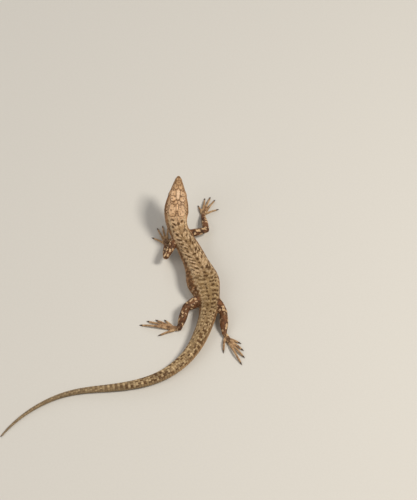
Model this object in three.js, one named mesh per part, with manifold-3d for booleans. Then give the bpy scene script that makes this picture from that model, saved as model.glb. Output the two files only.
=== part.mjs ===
// A common wall lizard (Podarcis muralis), life size, basking flat with its head raised.
//
// Units are millimetres and +Z is up. The head points along +Y and the animal's right side is +X. The
// belly, feet and tail rest on z = 0, and the origin is on that floor under the middle of the whole
// animal, tail included.
//
// The body is one run of cross sections along a spine, from the snout at distance 0 to the tip of the
// tail. Each named length of it is a solid of its own, and a thin gap parts it from the next. Limbs are
// tapered rods between their joints, and whatever meets is trimmed by its neighbour grown by the gap.

import * as THREE from "three";
import { mergeVertices } from "three/addons/utils/BufferGeometryUtils.js";
import Module from "manifold-3d";

const wasm = await Module();
wasm.setup();

// ---------------------------------------------------------------- driving sizes

const GAP = 0.2; // clear space between two neighbouring solids
const HEAD_LENGTH = 16; // snout to occiput
const SNOUT_VENT = 58.5; // snout to vent, along the spine
const TAIL_LENGTH = 103;
const TOTAL_LENGTH = SNOUT_VENT + TAIL_LENGTH;
const EYE_RADIUS = 1.35;
const RIGHT = 1;
const LEFT = -1;

// Where the spine is parted, as distances from the snout.
const NECK_END = 22.8;
const CHEST_END = 34.5;
const BELLY_END = 51;
const TAIL_CUTS = [59.2, 78, 98, 119, 140, TOTAL_LENGTH];

// ---------------------------------------------------------------- profiles along the spine

// A smooth curve through [distance, value] knots, level beyond the first and last.
function profile(knots) {
  const slope = knots.map((knot, i) => {
    const before = knots[Math.max(i - 1, 0)];
    const after = knots[Math.min(i + 1, knots.length - 1)];
    return (after[1] - before[1]) / (after[0] - before[0]);
  });
  return (s) => {
    if (s <= knots[0][0]) return knots[0][1];
    const i = knots.findIndex((knot) => s <= knot[0]) - 1;
    if (i < 0) return knots.at(-1)[1];
    const span = knots[i + 1][0] - knots[i][0];
    const t = (s - knots[i][0]) / span;
    const ease = t * t * (3 - 2 * t);
    const bend = t * (1 - t) * ((1 - t) * slope[i] - t * slope[i + 1]) * span;
    return knots[i][1] + (knots[i + 1][1] - knots[i][1]) * ease + bend;
  };
}

// The way the spine runs towards the tail, in degrees from straight back (-Y), positive to the right.
const sway = profile([
  [0, -4], [14, -4], [16, -1], [18, 9], [21.5, 23], [26, 28], [31, 26.5], [35, 22], [40, 18.5],
  [46, 15], [52, 14], [55, 8], [58, -1], [62, -10], [67, -16], [76, -25], [90, -50], [105, -76],
  [121, -84], [139, -60], [TOTAL_LENGTH, -32],
]);

// Half the body's width.
const halfWidth = profile([
  [0, 0.35], [0.4, 0.8], [1, 1.15], [2, 1.55], [3, 1.92], [4, 2.28], [6, 2.95], [8, 3.6], [10, 4.2],
  [12, 4.62], [14, 4.72], [16, 4.5], [18, 4.2], [20, 4.0], [23, 3.8], [26, 3.9], [30, 4.25],
  [35, 4.5], [38.5, 4.8], [42, 5.55], [45, 6.15], [48, 6.15], [50.5, 5.6], [53, 4.9], [56, 4.15],
  [59, 3.6], [64, 3.15], [72, 2.85], [82, 2.45], [97, 1.95], [112, 1.5], [127, 1.1], [142, 0.77],
  [157, 0.46], [TOTAL_LENGTH, 0.34],
]);

// How far the back rises above the spine.
const rise = profile([
  [0, 0.35], [0.4, 0.85], [1, 1.2], [2, 1.6], [3, 1.9], [5, 2.45], [7, 2.95], [9, 3.15], [12, 3.2],
  [16, 3.05], [20, 3.0], [26, 3.3], [36, 3.65], [47, 3.65], [54, 3.35], [58, 3.1], [62, 2.95],
  [72, 2.6], [82, 2.25], [97, 1.8], [112, 1.4], [127, 1.04], [142, 0.74], [157, 0.44],
  [TOTAL_LENGTH, 0.32],
]);

// How high the spine lies. The tail rests on the floor, so there it follows the tail's thickness.
const TAIL_START = 64;
const SINK = 0.07; // how far the belly, tail and feet would reach under the floor, if it didn't trim them
const trunkHeight = profile([
  [0, 16.4], [4, 14.52], [8, 12.65], [12, 10.77], [15, 9.37], [18, 8.15], [21, 7.15], [25, 6.15],
  [29, 5.4], [34, 4.75], [40, 4.32], [47, 4.05], [53, 3.75], [58, 3.35], [TAIL_START, 2.85],
]);
const height = (s) => (s < TAIL_START ? trunkHeight(s) : rise(s) * 1.02 - SINK);

// How far the underside drops below the spine.
const trunkDrop = profile([
  [0, 0.35], [0.4, 0.8], [1, 1.05], [2, 1.35], [4, 1.8], [6, 2.2], [8, 2.6], [10, 3.0], [12, 3.3],
  [14, 3.4], [17, 3.3], [20, 3.4], [24, 3.75], [28, 4.1], [32, 4.45], [36, 4.62], [40, 4.38],
  [47, 4.12], [53, 3.82], [58, 3.42], [TAIL_START, 2.92],
]);
const drop = (s) => (s < TAIL_START ? trunkDrop(s) : height(s) + SINK);

// The crown is narrower than the cheeks and so is the jaw, and the head is squarer than the body.
const crownTaper = profile([[0, 0.05], [4, 0.14], [8, 0.13], [12, 0.2], [16, 0.14], [21, 0]]);
const jawTaper = profile([[0, 0.1], [6, 0.22], [13, 0.25], [18, 0.08], [24, 0]]);
const topSquareness = profile([[0, 2.1], [3, 2.6], [9, 3.0], [15, 2.7], [24, 2.2], [60, 2.1], [80, 2]]);
const underSquareness = profile([[0, 2.1], [9, 2.2], [24, 2.3], [40, 2.6], [58, 2.5], [80, 2.1]]);

// How far the head leans over to its right, in degrees.
const lean = profile([[0, 8], [15, 8], [24, 0]]);

// ---------------------------------------------------------------- the spine

// Points every SPINE_STEP from the snout to the tail's tip, found by walking along the sway.
// The walk starts at the snout, over x = 0 and y = 0.
const SPINE_STEP = 0.25;
const spinePoints = [];
{
  const point = new THREE.Vector3();
  for (let i = 0; i * SPINE_STEP <= TOTAL_LENGTH + SPINE_STEP; i++) {
    const s = i * SPINE_STEP;
    const climb = (height(s + SPINE_STEP) - height(s)) / SPINE_STEP;
    const level = Math.sqrt(Math.max(0, 1 - climb * climb));
    const angle = THREE.MathUtils.degToRad(sway(s));
    spinePoints.push(new THREE.Vector3(point.x, point.y, height(s)));
    point.x += Math.sin(angle) * level * SPINE_STEP;
    point.y -= Math.cos(angle) * level * SPINE_STEP;
  }
}

// The spine's point at a distance from the snout, with unit vectors to the right, up and to the tail.
function spineFrame(s) {
  const i = Math.min(Math.floor(s / SPINE_STEP), spinePoints.length - 2);
  const at = spinePoints[i].clone().lerp(spinePoints[i + 1], s / SPINE_STEP - i);
  const ahead = spinePoints[Math.max(i - 2, 0)];
  const behind = spinePoints[Math.min(i + 3, spinePoints.length - 1)];
  const back = behind.clone().sub(ahead).normalize();
  const turn = -THREE.MathUtils.degToRad(lean(s));
  const right = new THREE.Vector3(0, 0, 1).cross(back).normalize().applyAxisAngle(back, turn);
  const up = back.clone().cross(right);
  return { at, right, up, back };
}

// A point given in the spine's frame at distance s.
function onSpine(s, toRight, upward) {
  const { at, right, up } = spineFrame(s);
  return at.addScaledVector(right, toRight).addScaledVector(up, upward);
}

// ---------------------------------------------------------------- solids

// A closed skin through rings of points, each ring with the same number of them.
function loft(rings) {
  const count = rings[0].length;
  const positions = rings.flat().flatMap((p) => p.toArray());
  const index = [];
  for (let r = 0; r + 1 < rings.length; r++)
    for (let k = 0; k < count; k++) {
      const a = r * count + k;
      const b = r * count + ((k + 1) % count);
      index.push(a, b, a + count, b, b + count, a + count);
    }
  for (const [first, flip] of [[0, false], [(rings.length - 1) * count, true]]) {
    const centre = positions.length / 3;
    const middle = new THREE.Vector3();
    for (let k = 0; k < count; k++) middle.add(rings[first / count][k]);
    positions.push(...middle.divideScalar(count).toArray());
    for (let k = 0; k < count; k++) {
      const a = first + k;
      const b = first + ((k + 1) % count);
      index.push(...(flip ? [a, b, centre] : [b, a, centre]));
    }
  }
  const geometry = new THREE.BufferGeometry();
  geometry.setAttribute("position", new THREE.Float32BufferAttribute(positions, 3));
  geometry.setIndex(index);
  return geometry;
}

// A closed geometry as a solid, turned the right way out.
function solid(geometry) {
  const bare = geometry.clone().deleteAttribute("normal").deleteAttribute("uv");
  const merged = mergeVertices(bare, 1e-5);
  const triVerts = new Uint32Array(merged.index.array);
  const vertProperties = new Float32Array(merged.attributes.position.array);
  const made = new wasm.Manifold(new wasm.Mesh({ numProp: 3, vertProperties, triVerts }));
  if (made.volume() > 0) return made;
  for (let i = 0; i < triVerts.length; i += 3) triVerts.subarray(i, i + 2).reverse();
  return new wasm.Manifold(new wasm.Mesh({ numProp: 3, vertProperties, triVerts }));
}

// A solid as a geometry with flat faces.
function geometryOf(manifold) {
  const { vertProperties, triVerts, numProp } = manifold.getMesh();
  const positions = [];
  for (const v of triVerts) positions.push(...vertProperties.slice(v * numProp, v * numProp + 3));
  const geometry = new THREE.BufferGeometry();
  geometry.setAttribute("position", new THREE.Float32BufferAttribute(positions, 3));
  geometry.computeVertexNormals();
  return geometry;
}

// What lies above the floor.
const FLOOR_BLOCK = 400;
const aboveFloor = solid(
  new THREE.BoxGeometry(FLOOR_BLOCK, FLOOR_BLOCK, FLOOR_BLOCK).translate(0, 0, FLOOR_BLOCK / 2),
);

// The body's ring of points at distance s, a rounded box outline grown outwards by grow.
function bodyRing(s, sides, grow = 0) {
  return Array.from({ length: sides }, (_, k) => {
    const across = Math.cos((k / sides) * 2 * Math.PI);
    const upward = Math.sin((k / sides) * 2 * Math.PI);
    const isTop = upward >= 0;
    const power = 2 / (isTop ? topSquareness(s) : underSquareness(s));
    const taper = (isTop ? crownTaper(s) : jawTaper(s)) * upward ** 2;
    const reach = (halfWidth(s) + grow) * (1 - taper);
    const x = reach * Math.sign(across) * Math.abs(across) ** power;
    const z = (isTop ? rise(s) + grow : -drop(s) - grow) * Math.abs(upward) ** power;
    return onSpine(s, x, z);
  });
}

// The body between two distances, with a ring about every step.
function bodyLength(from, to, sides, step, grow = 0) {
  const count = Math.max(1, Math.round((to - from) / step));
  const rings = [];
  for (let i = 0; i <= count; i++) rings.push(bodyRing(from + ((to - from) * i) / count, sides, grow));
  return solid(loft(rings));
}

// A rod along a curve. radius(t) gives [across, upward] half sizes, and both ends are rounded off.
function rod(curve, steps, sides, roundSteps, radius, grow = 0) {
  const ring = (t, beyond, share) => {
    const forward = curve.getTangent(t);
    const side = new THREE.Vector3(0, 0, 1).cross(forward).normalize();
    const up = forward.clone().cross(side);
    const at = curve.getPoint(t).addScaledVector(forward, beyond);
    const [across, upward] = radius(t).map((size) => (size + grow) * share);
    return Array.from({ length: sides }, (_, k) => {
      const angle = (k / sides) * 2 * Math.PI;
      const out = side.clone().multiplyScalar(across * Math.cos(angle));
      return out.addScaledVector(up, upward * Math.sin(angle)).add(at);
    });
  };
  const rings = [];
  for (let i = 0; i <= steps; i++) rings.push(ring(i / steps, 0, 1));
  for (let i = 1; i <= roundSteps; i++) {
    const angle = ((i - 0.35) / roundSteps) * (Math.PI / 2);
    const reach = (t) => (radius(t)[1] * 0.8 + grow) * Math.sin(angle);
    rings.unshift(ring(0, -reach(0), Math.cos(angle)));
    rings.push(ring(1, reach(1), Math.cos(angle)));
  }
  return solid(loft(rings));
}

// ---------------------------------------------------------------- the object

const lizard = new THREE.Group();

const COLOURS = {
  back: 0x8f6f52,
  head: 0x96705a,
  flank: 0x7d5f48,
  tail: 0x8d7155,
  limb: 0x7e604a,
  throat: 0xb59f86,
  eye: 0x2a1a10,
  drum: 0x4a372a,
};

function place(name, manifold, colour, roughness = 0.6) {
  const material = new THREE.MeshStandardMaterial({ color: colour, roughness, metalness: 0 });
  const mesh = new THREE.Mesh(geometryOf(manifold), material);
  mesh.name = name;
  lizard.add(mesh);
}

// ---------------------------------------------------------------- head, jaw, eyes and ears

const HEAD_SIDES = 20;
const EYE = { station: 7.8, across: 2.3, up: 1.05 };
const BROW = { station: 7.9, across: 2.05, up: 1.1, halfSizes: [1.5, 2.25, 1.8] };
const EAR = { station: 14.4, up: -0.5, wide: 0.62, tall: 0.9, deep: 0.75 };
const DRUM = { share: 0.8, halfThick: 0.27, inset: 0.42 };
const EAR_SIDES = 8;

// A ball or lens whose half sizes run to the right, along the spine and upward.
function ellipsoid(station, toRight, upward, halfSizes, grow = 0, sides = 12) {
  const { right, up, back } = spineFrame(station);
  const turn = new THREE.Matrix4().makeBasis(right, back, up);
  turn.setPosition(onSpine(station, toRight, upward));
  const ball = new THREE.SphereGeometry(1, sides, Math.round(sides * 0.6));
  ball.scale(...halfSizes.map((size) => size + grow));
  return solid(ball.applyMatrix4(turn));
}

// The lower jaw is what lies below the mouth line, which ends by turning down the throat. The line's
// points are [distance from the snout, height over the spine].
const MOUTH_LINE = [
  [-1, -0.25], [2.5, -0.45], [6, -0.8], [9, -1.15], [11, -1.5], [12.3, -2.2], [12.9, -3.2], [13.1, -5],
];
const MOUTH_GAP = 0.16;
const MOUTH_STEPS = 9;
function belowMouth(raised) {
  const line = new THREE.SplineCurve(MOUTH_LINE.map((p) => new THREE.Vector2(...p)));
  const outline = [];
  for (let i = 0; i <= MOUTH_STEPS; i++) {
    const along = line.getTangent(i / MOUTH_STEPS);
    const normal = new THREE.Vector2(-along.y, along.x);
    outline.push(line.getPoint(i / MOUTH_STEPS).addScaledVector(normal, raised));
  }
  outline.push(new THREE.Vector2(MOUTH_LINE[0][0], MOUTH_LINE.at(-1)[1]));
  const depth = 14;
  const block = new THREE.ExtrudeGeometry(new THREE.Shape(outline), { depth, bevelEnabled: false });
  // The outline's x runs back from the snout and its y upward, so the block runs across the head.
  const { right, up, back } = spineFrame(HEAD_LENGTH / 2);
  const turn = new THREE.Matrix4().makeBasis(back, up, right.clone().negate());
  const corner = onSpine(HEAD_LENGTH / 2, depth / 2, 0).addScaledVector(back, -HEAD_LENGTH / 2);
  return solid(block.applyMatrix4(turn.setPosition(corner)));
}

let skull = bodyLength(0, HEAD_LENGTH - GAP / 2, HEAD_SIDES, 1.25);
for (const [side, word] of [[LEFT, "left"], [RIGHT, "right"]]) {
  const eyeSize = [EYE_RADIUS, EYE_RADIUS, EYE_RADIUS];
  skull = skull.add(ellipsoid(BROW.station, side * BROW.across, BROW.up, BROW.halfSizes));
  skull = skull.subtract(ellipsoid(EYE.station, side * EYE.across, EYE.up, eyeSize, GAP / 2));
  place(`eye_${word}`, ellipsoid(EYE.station, side * EYE.across, EYE.up, eyeSize), COLOURS.eye, 0.15);

  const skinAt = side * halfWidth(EAR.station);
  const drumAt = skinAt - side * DRUM.inset;
  const lens = [DRUM.halfThick, EAR.wide * DRUM.share, EAR.tall * DRUM.share];
  const hole = [EAR.deep, EAR.wide, EAR.tall];
  skull = skull.subtract(ellipsoid(EAR.station, skinAt, EAR.up, hole, 0, EAR_SIDES));
  skull = skull.subtract(ellipsoid(EAR.station, drumAt, EAR.up, lens, GAP / 2, EAR_SIDES));
  place(`ear_${word}`, ellipsoid(EAR.station, drumAt, EAR.up, lens, 0, EAR_SIDES), COLOURS.drum, 0.5);
}
place("head", skull.subtract(belowMouth(MOUTH_GAP / 2)), COLOURS.head);
place("lower_jaw", skull.intersect(belowMouth(-MOUTH_GAP / 2)), COLOURS.throat);

// ---------------------------------------------------------------- neck, trunk and tail

const BODY_SIDES = 20;
const TAIL_SIDES = 12;
for (const [name, from, to, sides, step, colour] of [
  ["neck", HEAD_LENGTH, NECK_END, BODY_SIDES, 1.7, COLOURS.back],
  ["chest", NECK_END, CHEST_END, BODY_SIDES, 2, COLOURS.back],
  ["belly", CHEST_END, BELLY_END, BODY_SIDES, 2, COLOURS.back],
  ["pelvis", BELLY_END, TAIL_CUTS[0], BODY_SIDES, 2, COLOURS.back],
  ["tail_base", TAIL_CUTS[0], TAIL_CUTS[1], TAIL_SIDES, 4, COLOURS.tail],
  ["tail_upper", TAIL_CUTS[1], TAIL_CUTS[2], TAIL_SIDES, 4, COLOURS.tail],
  ["tail_middle", TAIL_CUTS[2], TAIL_CUTS[3], TAIL_SIDES, 4, COLOURS.tail],
  ["tail_lower", TAIL_CUTS[3], TAIL_CUTS[4], TAIL_SIDES, 4, COLOURS.tail],
  ["tail_tip", TAIL_CUTS[4], TAIL_CUTS[5], TAIL_SIDES, 4, COLOURS.tail],
]) {
  const whole = bodyLength(from + GAP / 2, to - GAP / 2, sides, step);
  place(name, whole.intersect(aboveFloor), colour);
}

// ---------------------------------------------------------------- limbs

// A bearing is the way a bone points seen from above: 0 is ahead (+Y) and 90 is to the right (+X).
function towards(from, length, bearing, endHeight) {
  const fall = endHeight - from.z;
  const level = Math.sqrt(length * length - fall * fall);
  const angle = THREE.MathUtils.degToRad(bearing);
  return new THREE.Vector3(from.x + level * Math.sin(angle), from.y + level * Math.cos(angle), endHeight);
}

// Toes are given from the inner to the outer one: where each leaves the foot (ahead of the ankle and
// outward), the way it points from the foot's own bearing (outward is positive), and its length.
const FORE_TOES = [
  { ahead: 1.8, out: -1.1, fan: -22, length: 3.2 },
  { ahead: 2.9, out: -0.7, fan: 2, length: 5.8 },
  { ahead: 3.3, out: 0.05, fan: 12, length: 6.5 },
  { ahead: 3.0, out: 0.75, fan: 24, length: 6.0 },
  { ahead: 1.9, out: 1.05, fan: 58, length: 4.2 },
];
const HIND_TOES = [
  { ahead: 3.3, out: -0.95, fan: -30, length: 3.0 },
  { ahead: 4.3, out: -0.55, fan: -14, length: 4.8 },
  { ahead: 4.9, out: 0, fan: -3, length: 7.0 },
  { ahead: 4.8, out: 0.6, fan: 9, length: 9.2 },
  { ahead: 1.9, out: 0.9, fan: 40, length: 5.2 },
];
const FORE = {
  rootShare: 0.62, // how far out in the body's half width the limb is rooted
  rootDrop: 0.3, // and how far below the spine
  upper: { name: "upper_arm", length: 9, radii: [1.8, 1.5, 1.15] },
  lower: { name: "forearm", length: 9.3, radii: [1.2, 1.3, 0.85] },
  foot: { name: "hand", length: 3.4, wide: [0.85, 1.25, 1.45], thick: [0.8, 0.66, 0.55] },
  toes: FORE_TOES,
  toeRadius: [0.5, 0.36],
};
const HIND = {
  rootShare: 0.35,
  rootDrop: 0.65,
  upper: { name: "thigh", length: 8.7, radii: [1.9, 2.2, 1.6] },
  lower: { name: "shank", length: 8.6, radii: [1.5, 1.65, 0.95] },
  foot: { name: "foot", length: 5, wide: [0.9, 1.1, 1.3], thick: [0.9, 0.72, 0.58] },
  toes: HIND_TOES,
  toeRadius: [0.55, 0.42],
};
const ANKLE_HEIGHT = 1;
// Each limb's spine distance, its elbow's or knee's height, and the bearings of its three lengths.
const LIMBS = [
  { kind: FORE, word: "front_left", side: LEFT, station: 24.6, joint: 4.8, upper: -154, lower: -1, foot: -3 },
  { kind: FORE, word: "front_right", side: RIGHT, station: 24.6, joint: 3.2, upper: 59, lower: -8, foot: 10 },
  { kind: HIND, word: "hind_left", side: LEFT, station: 54, joint: 4.3, upper: -130, lower: -162, foot: -76 },
  { kind: HIND, word: "hind_right", side: RIGHT, station: 54, joint: 3.1, upper: 150, lower: 178, foot: 150 },
];
const LIMB_SIDES = 9;
const TOE_SIDES = 6;
const TOE_STEPS = 3;
const TOE_ARCH = 0.08; // how far a toe's middle is lifted, as a share of its length
const TOE_BEND = -7; // how far a toe's tip turns from its root's bearing, in degrees
const CLAW = { length: 1.25, base: 0.27, tip: 0.12, dip: 0.3 };

// A rod's radius that passes through its start, middle and end sizes.
function swell(sizes) {
  const along = profile(sizes.map((size, i) => [i / 2, size]));
  return (t) => [along(t), along(t)];
}

const trunkGrown = bodyLength(HEAD_LENGTH + 2, TAIL_CUTS[0] + 8, BODY_SIDES, 2, GAP);

for (const { kind, word, side, station, joint, ...bearings } of LIMBS) {
  const root = onSpine(station, side * halfWidth(station) * kind.rootShare, -kind.rootDrop);
  const bend = towards(root, kind.upper.length, bearings.upper, joint);
  const ankle = towards(bend, kind.lower.length, bearings.lower, ANKLE_HEIGHT);
  const knuckles = towards(ankle, kind.foot.length, bearings.foot, kind.foot.thick[2] - SINK);

  const upperBone = new THREE.LineCurve3(root, bend);
  const lowerBone = new THREE.LineCurve3(bend, ankle);
  const footBone = new THREE.LineCurve3(ankle, knuckles);
  const upperSize = swell(kind.upper.radii);
  const lowerSize = swell(kind.lower.radii);
  const widths = swell(kind.foot.wide);
  const depths = swell(kind.foot.thick);
  const footSize = (t) => [widths(t)[0], depths(t)[0]];
  const lowerGrown = rod(lowerBone, 3, LIMB_SIDES, 2, lowerSize, GAP);
  const upper = rod(upperBone, 3, LIMB_SIDES, 2, upperSize).subtract(trunkGrown).subtract(lowerGrown);
  const lower = rod(lowerBone, 3, LIMB_SIDES, 2, lowerSize).subtract(trunkGrown);
  const foot = rod(footBone, 3, LIMB_SIDES, 2, footSize).subtract(lowerGrown);
  place(`${kind.upper.name}_${word}`, upper.intersect(aboveFloor), COLOURS.limb);
  place(`${kind.lower.name}_${word}`, lower.intersect(aboveFloor), COLOURS.limb);
  place(`${kind.foot.name}_${word}`, foot.intersect(aboveFloor), COLOURS.limb);

  // Each toe runs on into its claw, and is trimmed by the foot and by the toes before it.
  const ahead = towards(new THREE.Vector3(), 1, bearings.foot, 0);
  const outward = towards(new THREE.Vector3(), 1, bearings.foot + side * 90, 0);
  let taken = rod(footBone, 3, LIMB_SIDES, 2, footSize, GAP).add(lowerGrown);
  kind.toes.forEach((toe, i) => {
    const [thick, thin] = kind.toeRadius;
    const start = ankle.clone().setZ(thick);
    start.addScaledVector(ahead, toe.ahead).addScaledVector(outward, toe.out);
    const line = [start];
    for (let k = 1; k <= TOE_STEPS; k++) {
      const t = k / TOE_STEPS;
      const bearing = bearings.foot + side * (toe.fan + TOE_BEND * t);
      const next = towards(line.at(-1), toe.length / TOE_STEPS, bearing, line.at(-1).z);
      const lift = TOE_ARCH * toe.length * Math.sin(Math.PI * t);
      line.push(next.setZ(THREE.MathUtils.lerp(thick, thin - SINK, t) + lift));
    }
    const tip = line.at(-1);
    const way = tip.clone().sub(line.at(-2)).setZ(0).normalize();
    for (const t of [0.45, 1]) {
      const along = tip.clone().addScaledVector(way, CLAW.length * t);
      line.push(along.setZ(tip.z + 0.05 - CLAW.dip * t * t));
    }
    const last = line.length - 1;
    const sizes = profile([
      [0, thick], [TOE_STEPS / last, thin], [(TOE_STEPS + 1) / last, CLAW.base], [1, CLAW.tip],
    ]);
    const size = (t) => [sizes(t), sizes(t)];
    const curve = new THREE.CatmullRomCurve3(line);
    const whole = rod(curve, last, TOE_SIDES, 1, size).subtract(taken).intersect(aboveFloor);
    place(`toe_${word}_${i + 1}`, whole, COLOURS.limb);
    taken = taken.add(rod(curve, last, TOE_SIDES, 1, size, GAP));
  });
}

// The walk began at the snout, so the whole animal is moved to stand over its own middle.
const { min, max } = new THREE.Box3().setFromObject(lizard);
lizard.position.set(-(min.x + max.x) / 2, -(min.y + max.y) / 2, 0);

export default lizard;
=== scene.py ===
import math
from itertools import product

import bpy
import numpy as np
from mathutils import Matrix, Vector
from mathutils.bvhtree import BVHTree


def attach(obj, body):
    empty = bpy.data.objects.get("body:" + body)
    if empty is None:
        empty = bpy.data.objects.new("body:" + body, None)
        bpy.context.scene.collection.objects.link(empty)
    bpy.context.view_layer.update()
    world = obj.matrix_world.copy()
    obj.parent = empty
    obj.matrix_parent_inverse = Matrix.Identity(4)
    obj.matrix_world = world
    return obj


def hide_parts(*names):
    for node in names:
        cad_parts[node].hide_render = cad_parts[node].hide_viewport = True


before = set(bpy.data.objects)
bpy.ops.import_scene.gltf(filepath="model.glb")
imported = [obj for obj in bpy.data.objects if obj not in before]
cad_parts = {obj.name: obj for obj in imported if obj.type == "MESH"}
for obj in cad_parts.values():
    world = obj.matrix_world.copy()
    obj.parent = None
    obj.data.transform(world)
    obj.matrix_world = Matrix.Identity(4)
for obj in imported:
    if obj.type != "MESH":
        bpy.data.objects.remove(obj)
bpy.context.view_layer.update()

# A common wall lizard, dressed over its solids: one skin, solid scales over it, and eyes, ears and claws.
# Shapes are worked out in millimetres in the part's frame, and scaled to metres as they are made. A place
# on the body is s, the distance back from the snout along the spine, and share, how far round the body it
# lies: 0 on the back, 1 or -1 under the belly, and positive on the right.
MM = 0.001
RIGHT, LEFT = 1, -1
scene = bpy.context.scene


def new_object(name, data):
    obj = bpy.data.objects.new(name, data)
    scene.collection.objects.link(obj)
    return obj


# ---------------------------- camera

ELEVATION = math.radians(51)
AIM = Vector((30.9, 26.055, 5.0)) * MM
DISTANCE = 0.80
optics = bpy.data.cameras.new("camera")
optics.lens, optics.sensor_width = 150, 36
optics.clip_start, optics.clip_end = 0.02, 10
camera = new_object("camera", optics)
camera.location = AIM + DISTANCE * Vector((0, -math.cos(ELEVATION), math.sin(ELEVATION)))
camera.rotation_euler = (math.pi / 2 - ELEVATION, 0, 0)
scene.camera = camera

# ---------------------------- curves through numbers


def unit(v):
    return v / np.maximum(np.linalg.norm(v, axis=-1, keepdims=True), 1e-12)


def smoothstep(low, high, v):
    t = np.clip((v - low) / (high - low), 0, 1)
    return t * t * (3 - 2 * t)


def fade(low, high, v):
    return 1 - smoothstep(low, high, v)


def between(v, low, low_full, high_full, high):
    """1 within a range, easing to 0 beyond both its ends."""
    return smoothstep(low, low_full, v) * fade(high_full, high, v)


def hump(v, middle, width):
    return np.exp(-(((v - middle) / width) ** 2))


def around(count, turn=0):
    """Angles evenly spaced round a circle, all turned on by a share of one step."""
    return (np.arange(count) + turn) / count * 2 * np.pi


def ramp(v, *knots):
    """Straight lines through (distance, value) knots, level beyond the first and last."""
    return np.interp(v, *np.array(knots, float).T)


def profile(knots):
    """A smooth curve through (distance, value) knots, level beyond the first and last."""
    d, v = np.array(knots, float).T
    slope = np.gradient(v, d)
    slope[1:-1] = (v[2:] - v[:-2]) / (d[2:] - d[:-2])

    def at(s):
        s = np.clip(s, d[0], d[-1])
        i = np.clip(np.searchsorted(d, s) - 1, 0, len(d) - 2)
        span = d[i + 1] - d[i]
        t = (s - d[i]) / span
        bend = t * (1 - t) * ((1 - t) * slope[i] - t * slope[i + 1]) * span
        return v[i] + (v[i + 1] - v[i]) * t * t * (3 - 2 * t) + bend

    return at


# ---------------------------- the body's sizes

TOTAL = 161.5
TAIL_START = 64
SINK = 0.07  # how far the underside would reach below the floor, and is pressed flat
COAT = 0.1  # how far the skin lies inside the solids, as room for the scales
SNOUT = np.array([19.33387, 53.76962])  # where the spine starts, across and ahead

# Which way the spine runs, in degrees from straight back, then the body's sizes at distances along it.
sway = profile([
    (0, -4), (14, -4), (16, -1), (18, 9), (21.5, 23), (26, 28), (31, 26.5), (35, 22), (40, 18.5), (46, 15),
    (52, 14), (55, 8), (58, -1), (62, -10), (67, -16), (76, -25), (90, -50), (105, -76), (121, -84),
    (139, -60), (TOTAL, -32),
])
half_width = profile([
    (0, 0.35), (0.4, 0.8), (1, 1.15), (2, 1.55), (3, 1.92), (4, 2.28), (6, 2.95), (8, 3.6), (10, 4.2),
    (12, 4.62), (14, 4.72), (16, 4.5), (18, 4.2), (20, 4.0), (23, 3.8), (26, 3.9), (30, 4.25), (35, 4.5),
    (38.5, 4.8), (42, 5.55), (45, 6.15), (48, 6.15), (50.5, 5.6), (53, 4.9), (56, 4.15), (59, 3.6),
    (64, 3.15), (72, 2.85), (82, 2.45), (97, 1.95), (112, 1.5), (127, 1.1), (142, 0.77), (157, 0.46),
    (TOTAL, 0.34),
])
rise = profile([
    (0, 0.35), (0.4, 0.85), (1, 1.2), (2, 1.6), (3, 1.9), (5, 2.45), (7, 2.95), (9, 3.15), (12, 3.2),
    (16, 3.05), (20, 3.0), (26, 3.3), (36, 3.65), (47, 3.65), (54, 3.35), (58, 3.1), (62, 2.95), (72, 2.6),
    (82, 2.25), (97, 1.8), (112, 1.4), (127, 1.04), (142, 0.74), (157, 0.44), (TOTAL, 0.32),
])
trunk_height = profile([
    (0, 16.4), (4, 14.52), (8, 12.65), (12, 10.77), (15, 9.37), (18, 8.15), (21, 7.15), (25, 6.15),
    (29, 5.4), (34, 4.75), (40, 4.32), (47, 4.05), (53, 3.75), (58, 3.35), (TAIL_START, 2.85),
])
trunk_drop = profile([
    (0, 0.35), (0.4, 0.8), (1, 1.05), (2, 1.35), (4, 1.8), (6, 2.2), (8, 2.6), (10, 3.0), (12, 3.3),
    (14, 3.4), (17, 3.3), (20, 3.4), (24, 3.75), (28, 4.1), (32, 4.45), (36, 4.62), (40, 4.38),
    (47, 4.12), (53, 3.82), (58, 3.42), (TAIL_START, 2.92),
])
crown_taper = profile([(0, 0.05), (4, 0.14), (8, 0.13), (12, 0.2), (16, 0.14), (21, 0)])
jaw_taper = profile([(0, 0.1), (6, 0.22), (13, 0.25), (18, 0.08), (24, 0)])
top_square = profile([(0, 2.1), (3, 2.6), (9, 3.0), (15, 2.7), (24, 2.2), (60, 2.1), (80, 2)])
under_square = profile([(0, 2.1), (9, 2.2), (24, 2.3), (40, 2.6), (58, 2.5), (80, 2.1)])
lean = profile([(0, 8), (15, 8), (24, 0)])  # how far the head leans over to its right, in degrees


def height(s):
    return np.where(s < TAIL_START, trunk_height(s), rise(s) * 1.02 - SINK)


def drop(s):
    return np.where(s < TAIL_START, trunk_drop(s), height(s) + SINK)


# ---------------------------- the spine

STEP = 0.25
stations = np.arange(0, TOTAL + 2 * STEP, STEP)
climb = (height(stations + STEP) - height(stations)) / STEP
level = np.sqrt(np.maximum(0, 1 - climb**2)) * STEP
angles = np.radians(sway(stations))
walk = np.stack([np.sin(angles) * level, -np.cos(angles) * level], 1)
spine = np.column_stack([np.vstack([[0, 0], np.cumsum(walk, 0)[:-1]]) + SNOUT, height(stations)])
index = np.arange(len(spine))
BACK = unit(spine[np.minimum(index + 3, len(spine) - 1)] - spine[np.maximum(index - 2, 0)])
LEVEL_ACROSS = unit(np.cross([0, 0, 1], BACK))
turn = -np.radians(lean(stations))[:, None]
ACROSS = LEVEL_ACROSS * np.cos(turn) + np.cross(BACK, LEVEL_ACROSS) * np.sin(turn)
UP = np.cross(BACK, ACROSS)


def spine_axes(s):
    """The spine's place at s, and its axes across to the right, upward and back."""

    def along(table):
        return np.stack([np.interp(s, stations, column) for column in table.T], -1)

    return along(spine), unit(along(ACROSS)), unit(along(UP)), unit(along(BACK))


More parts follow.
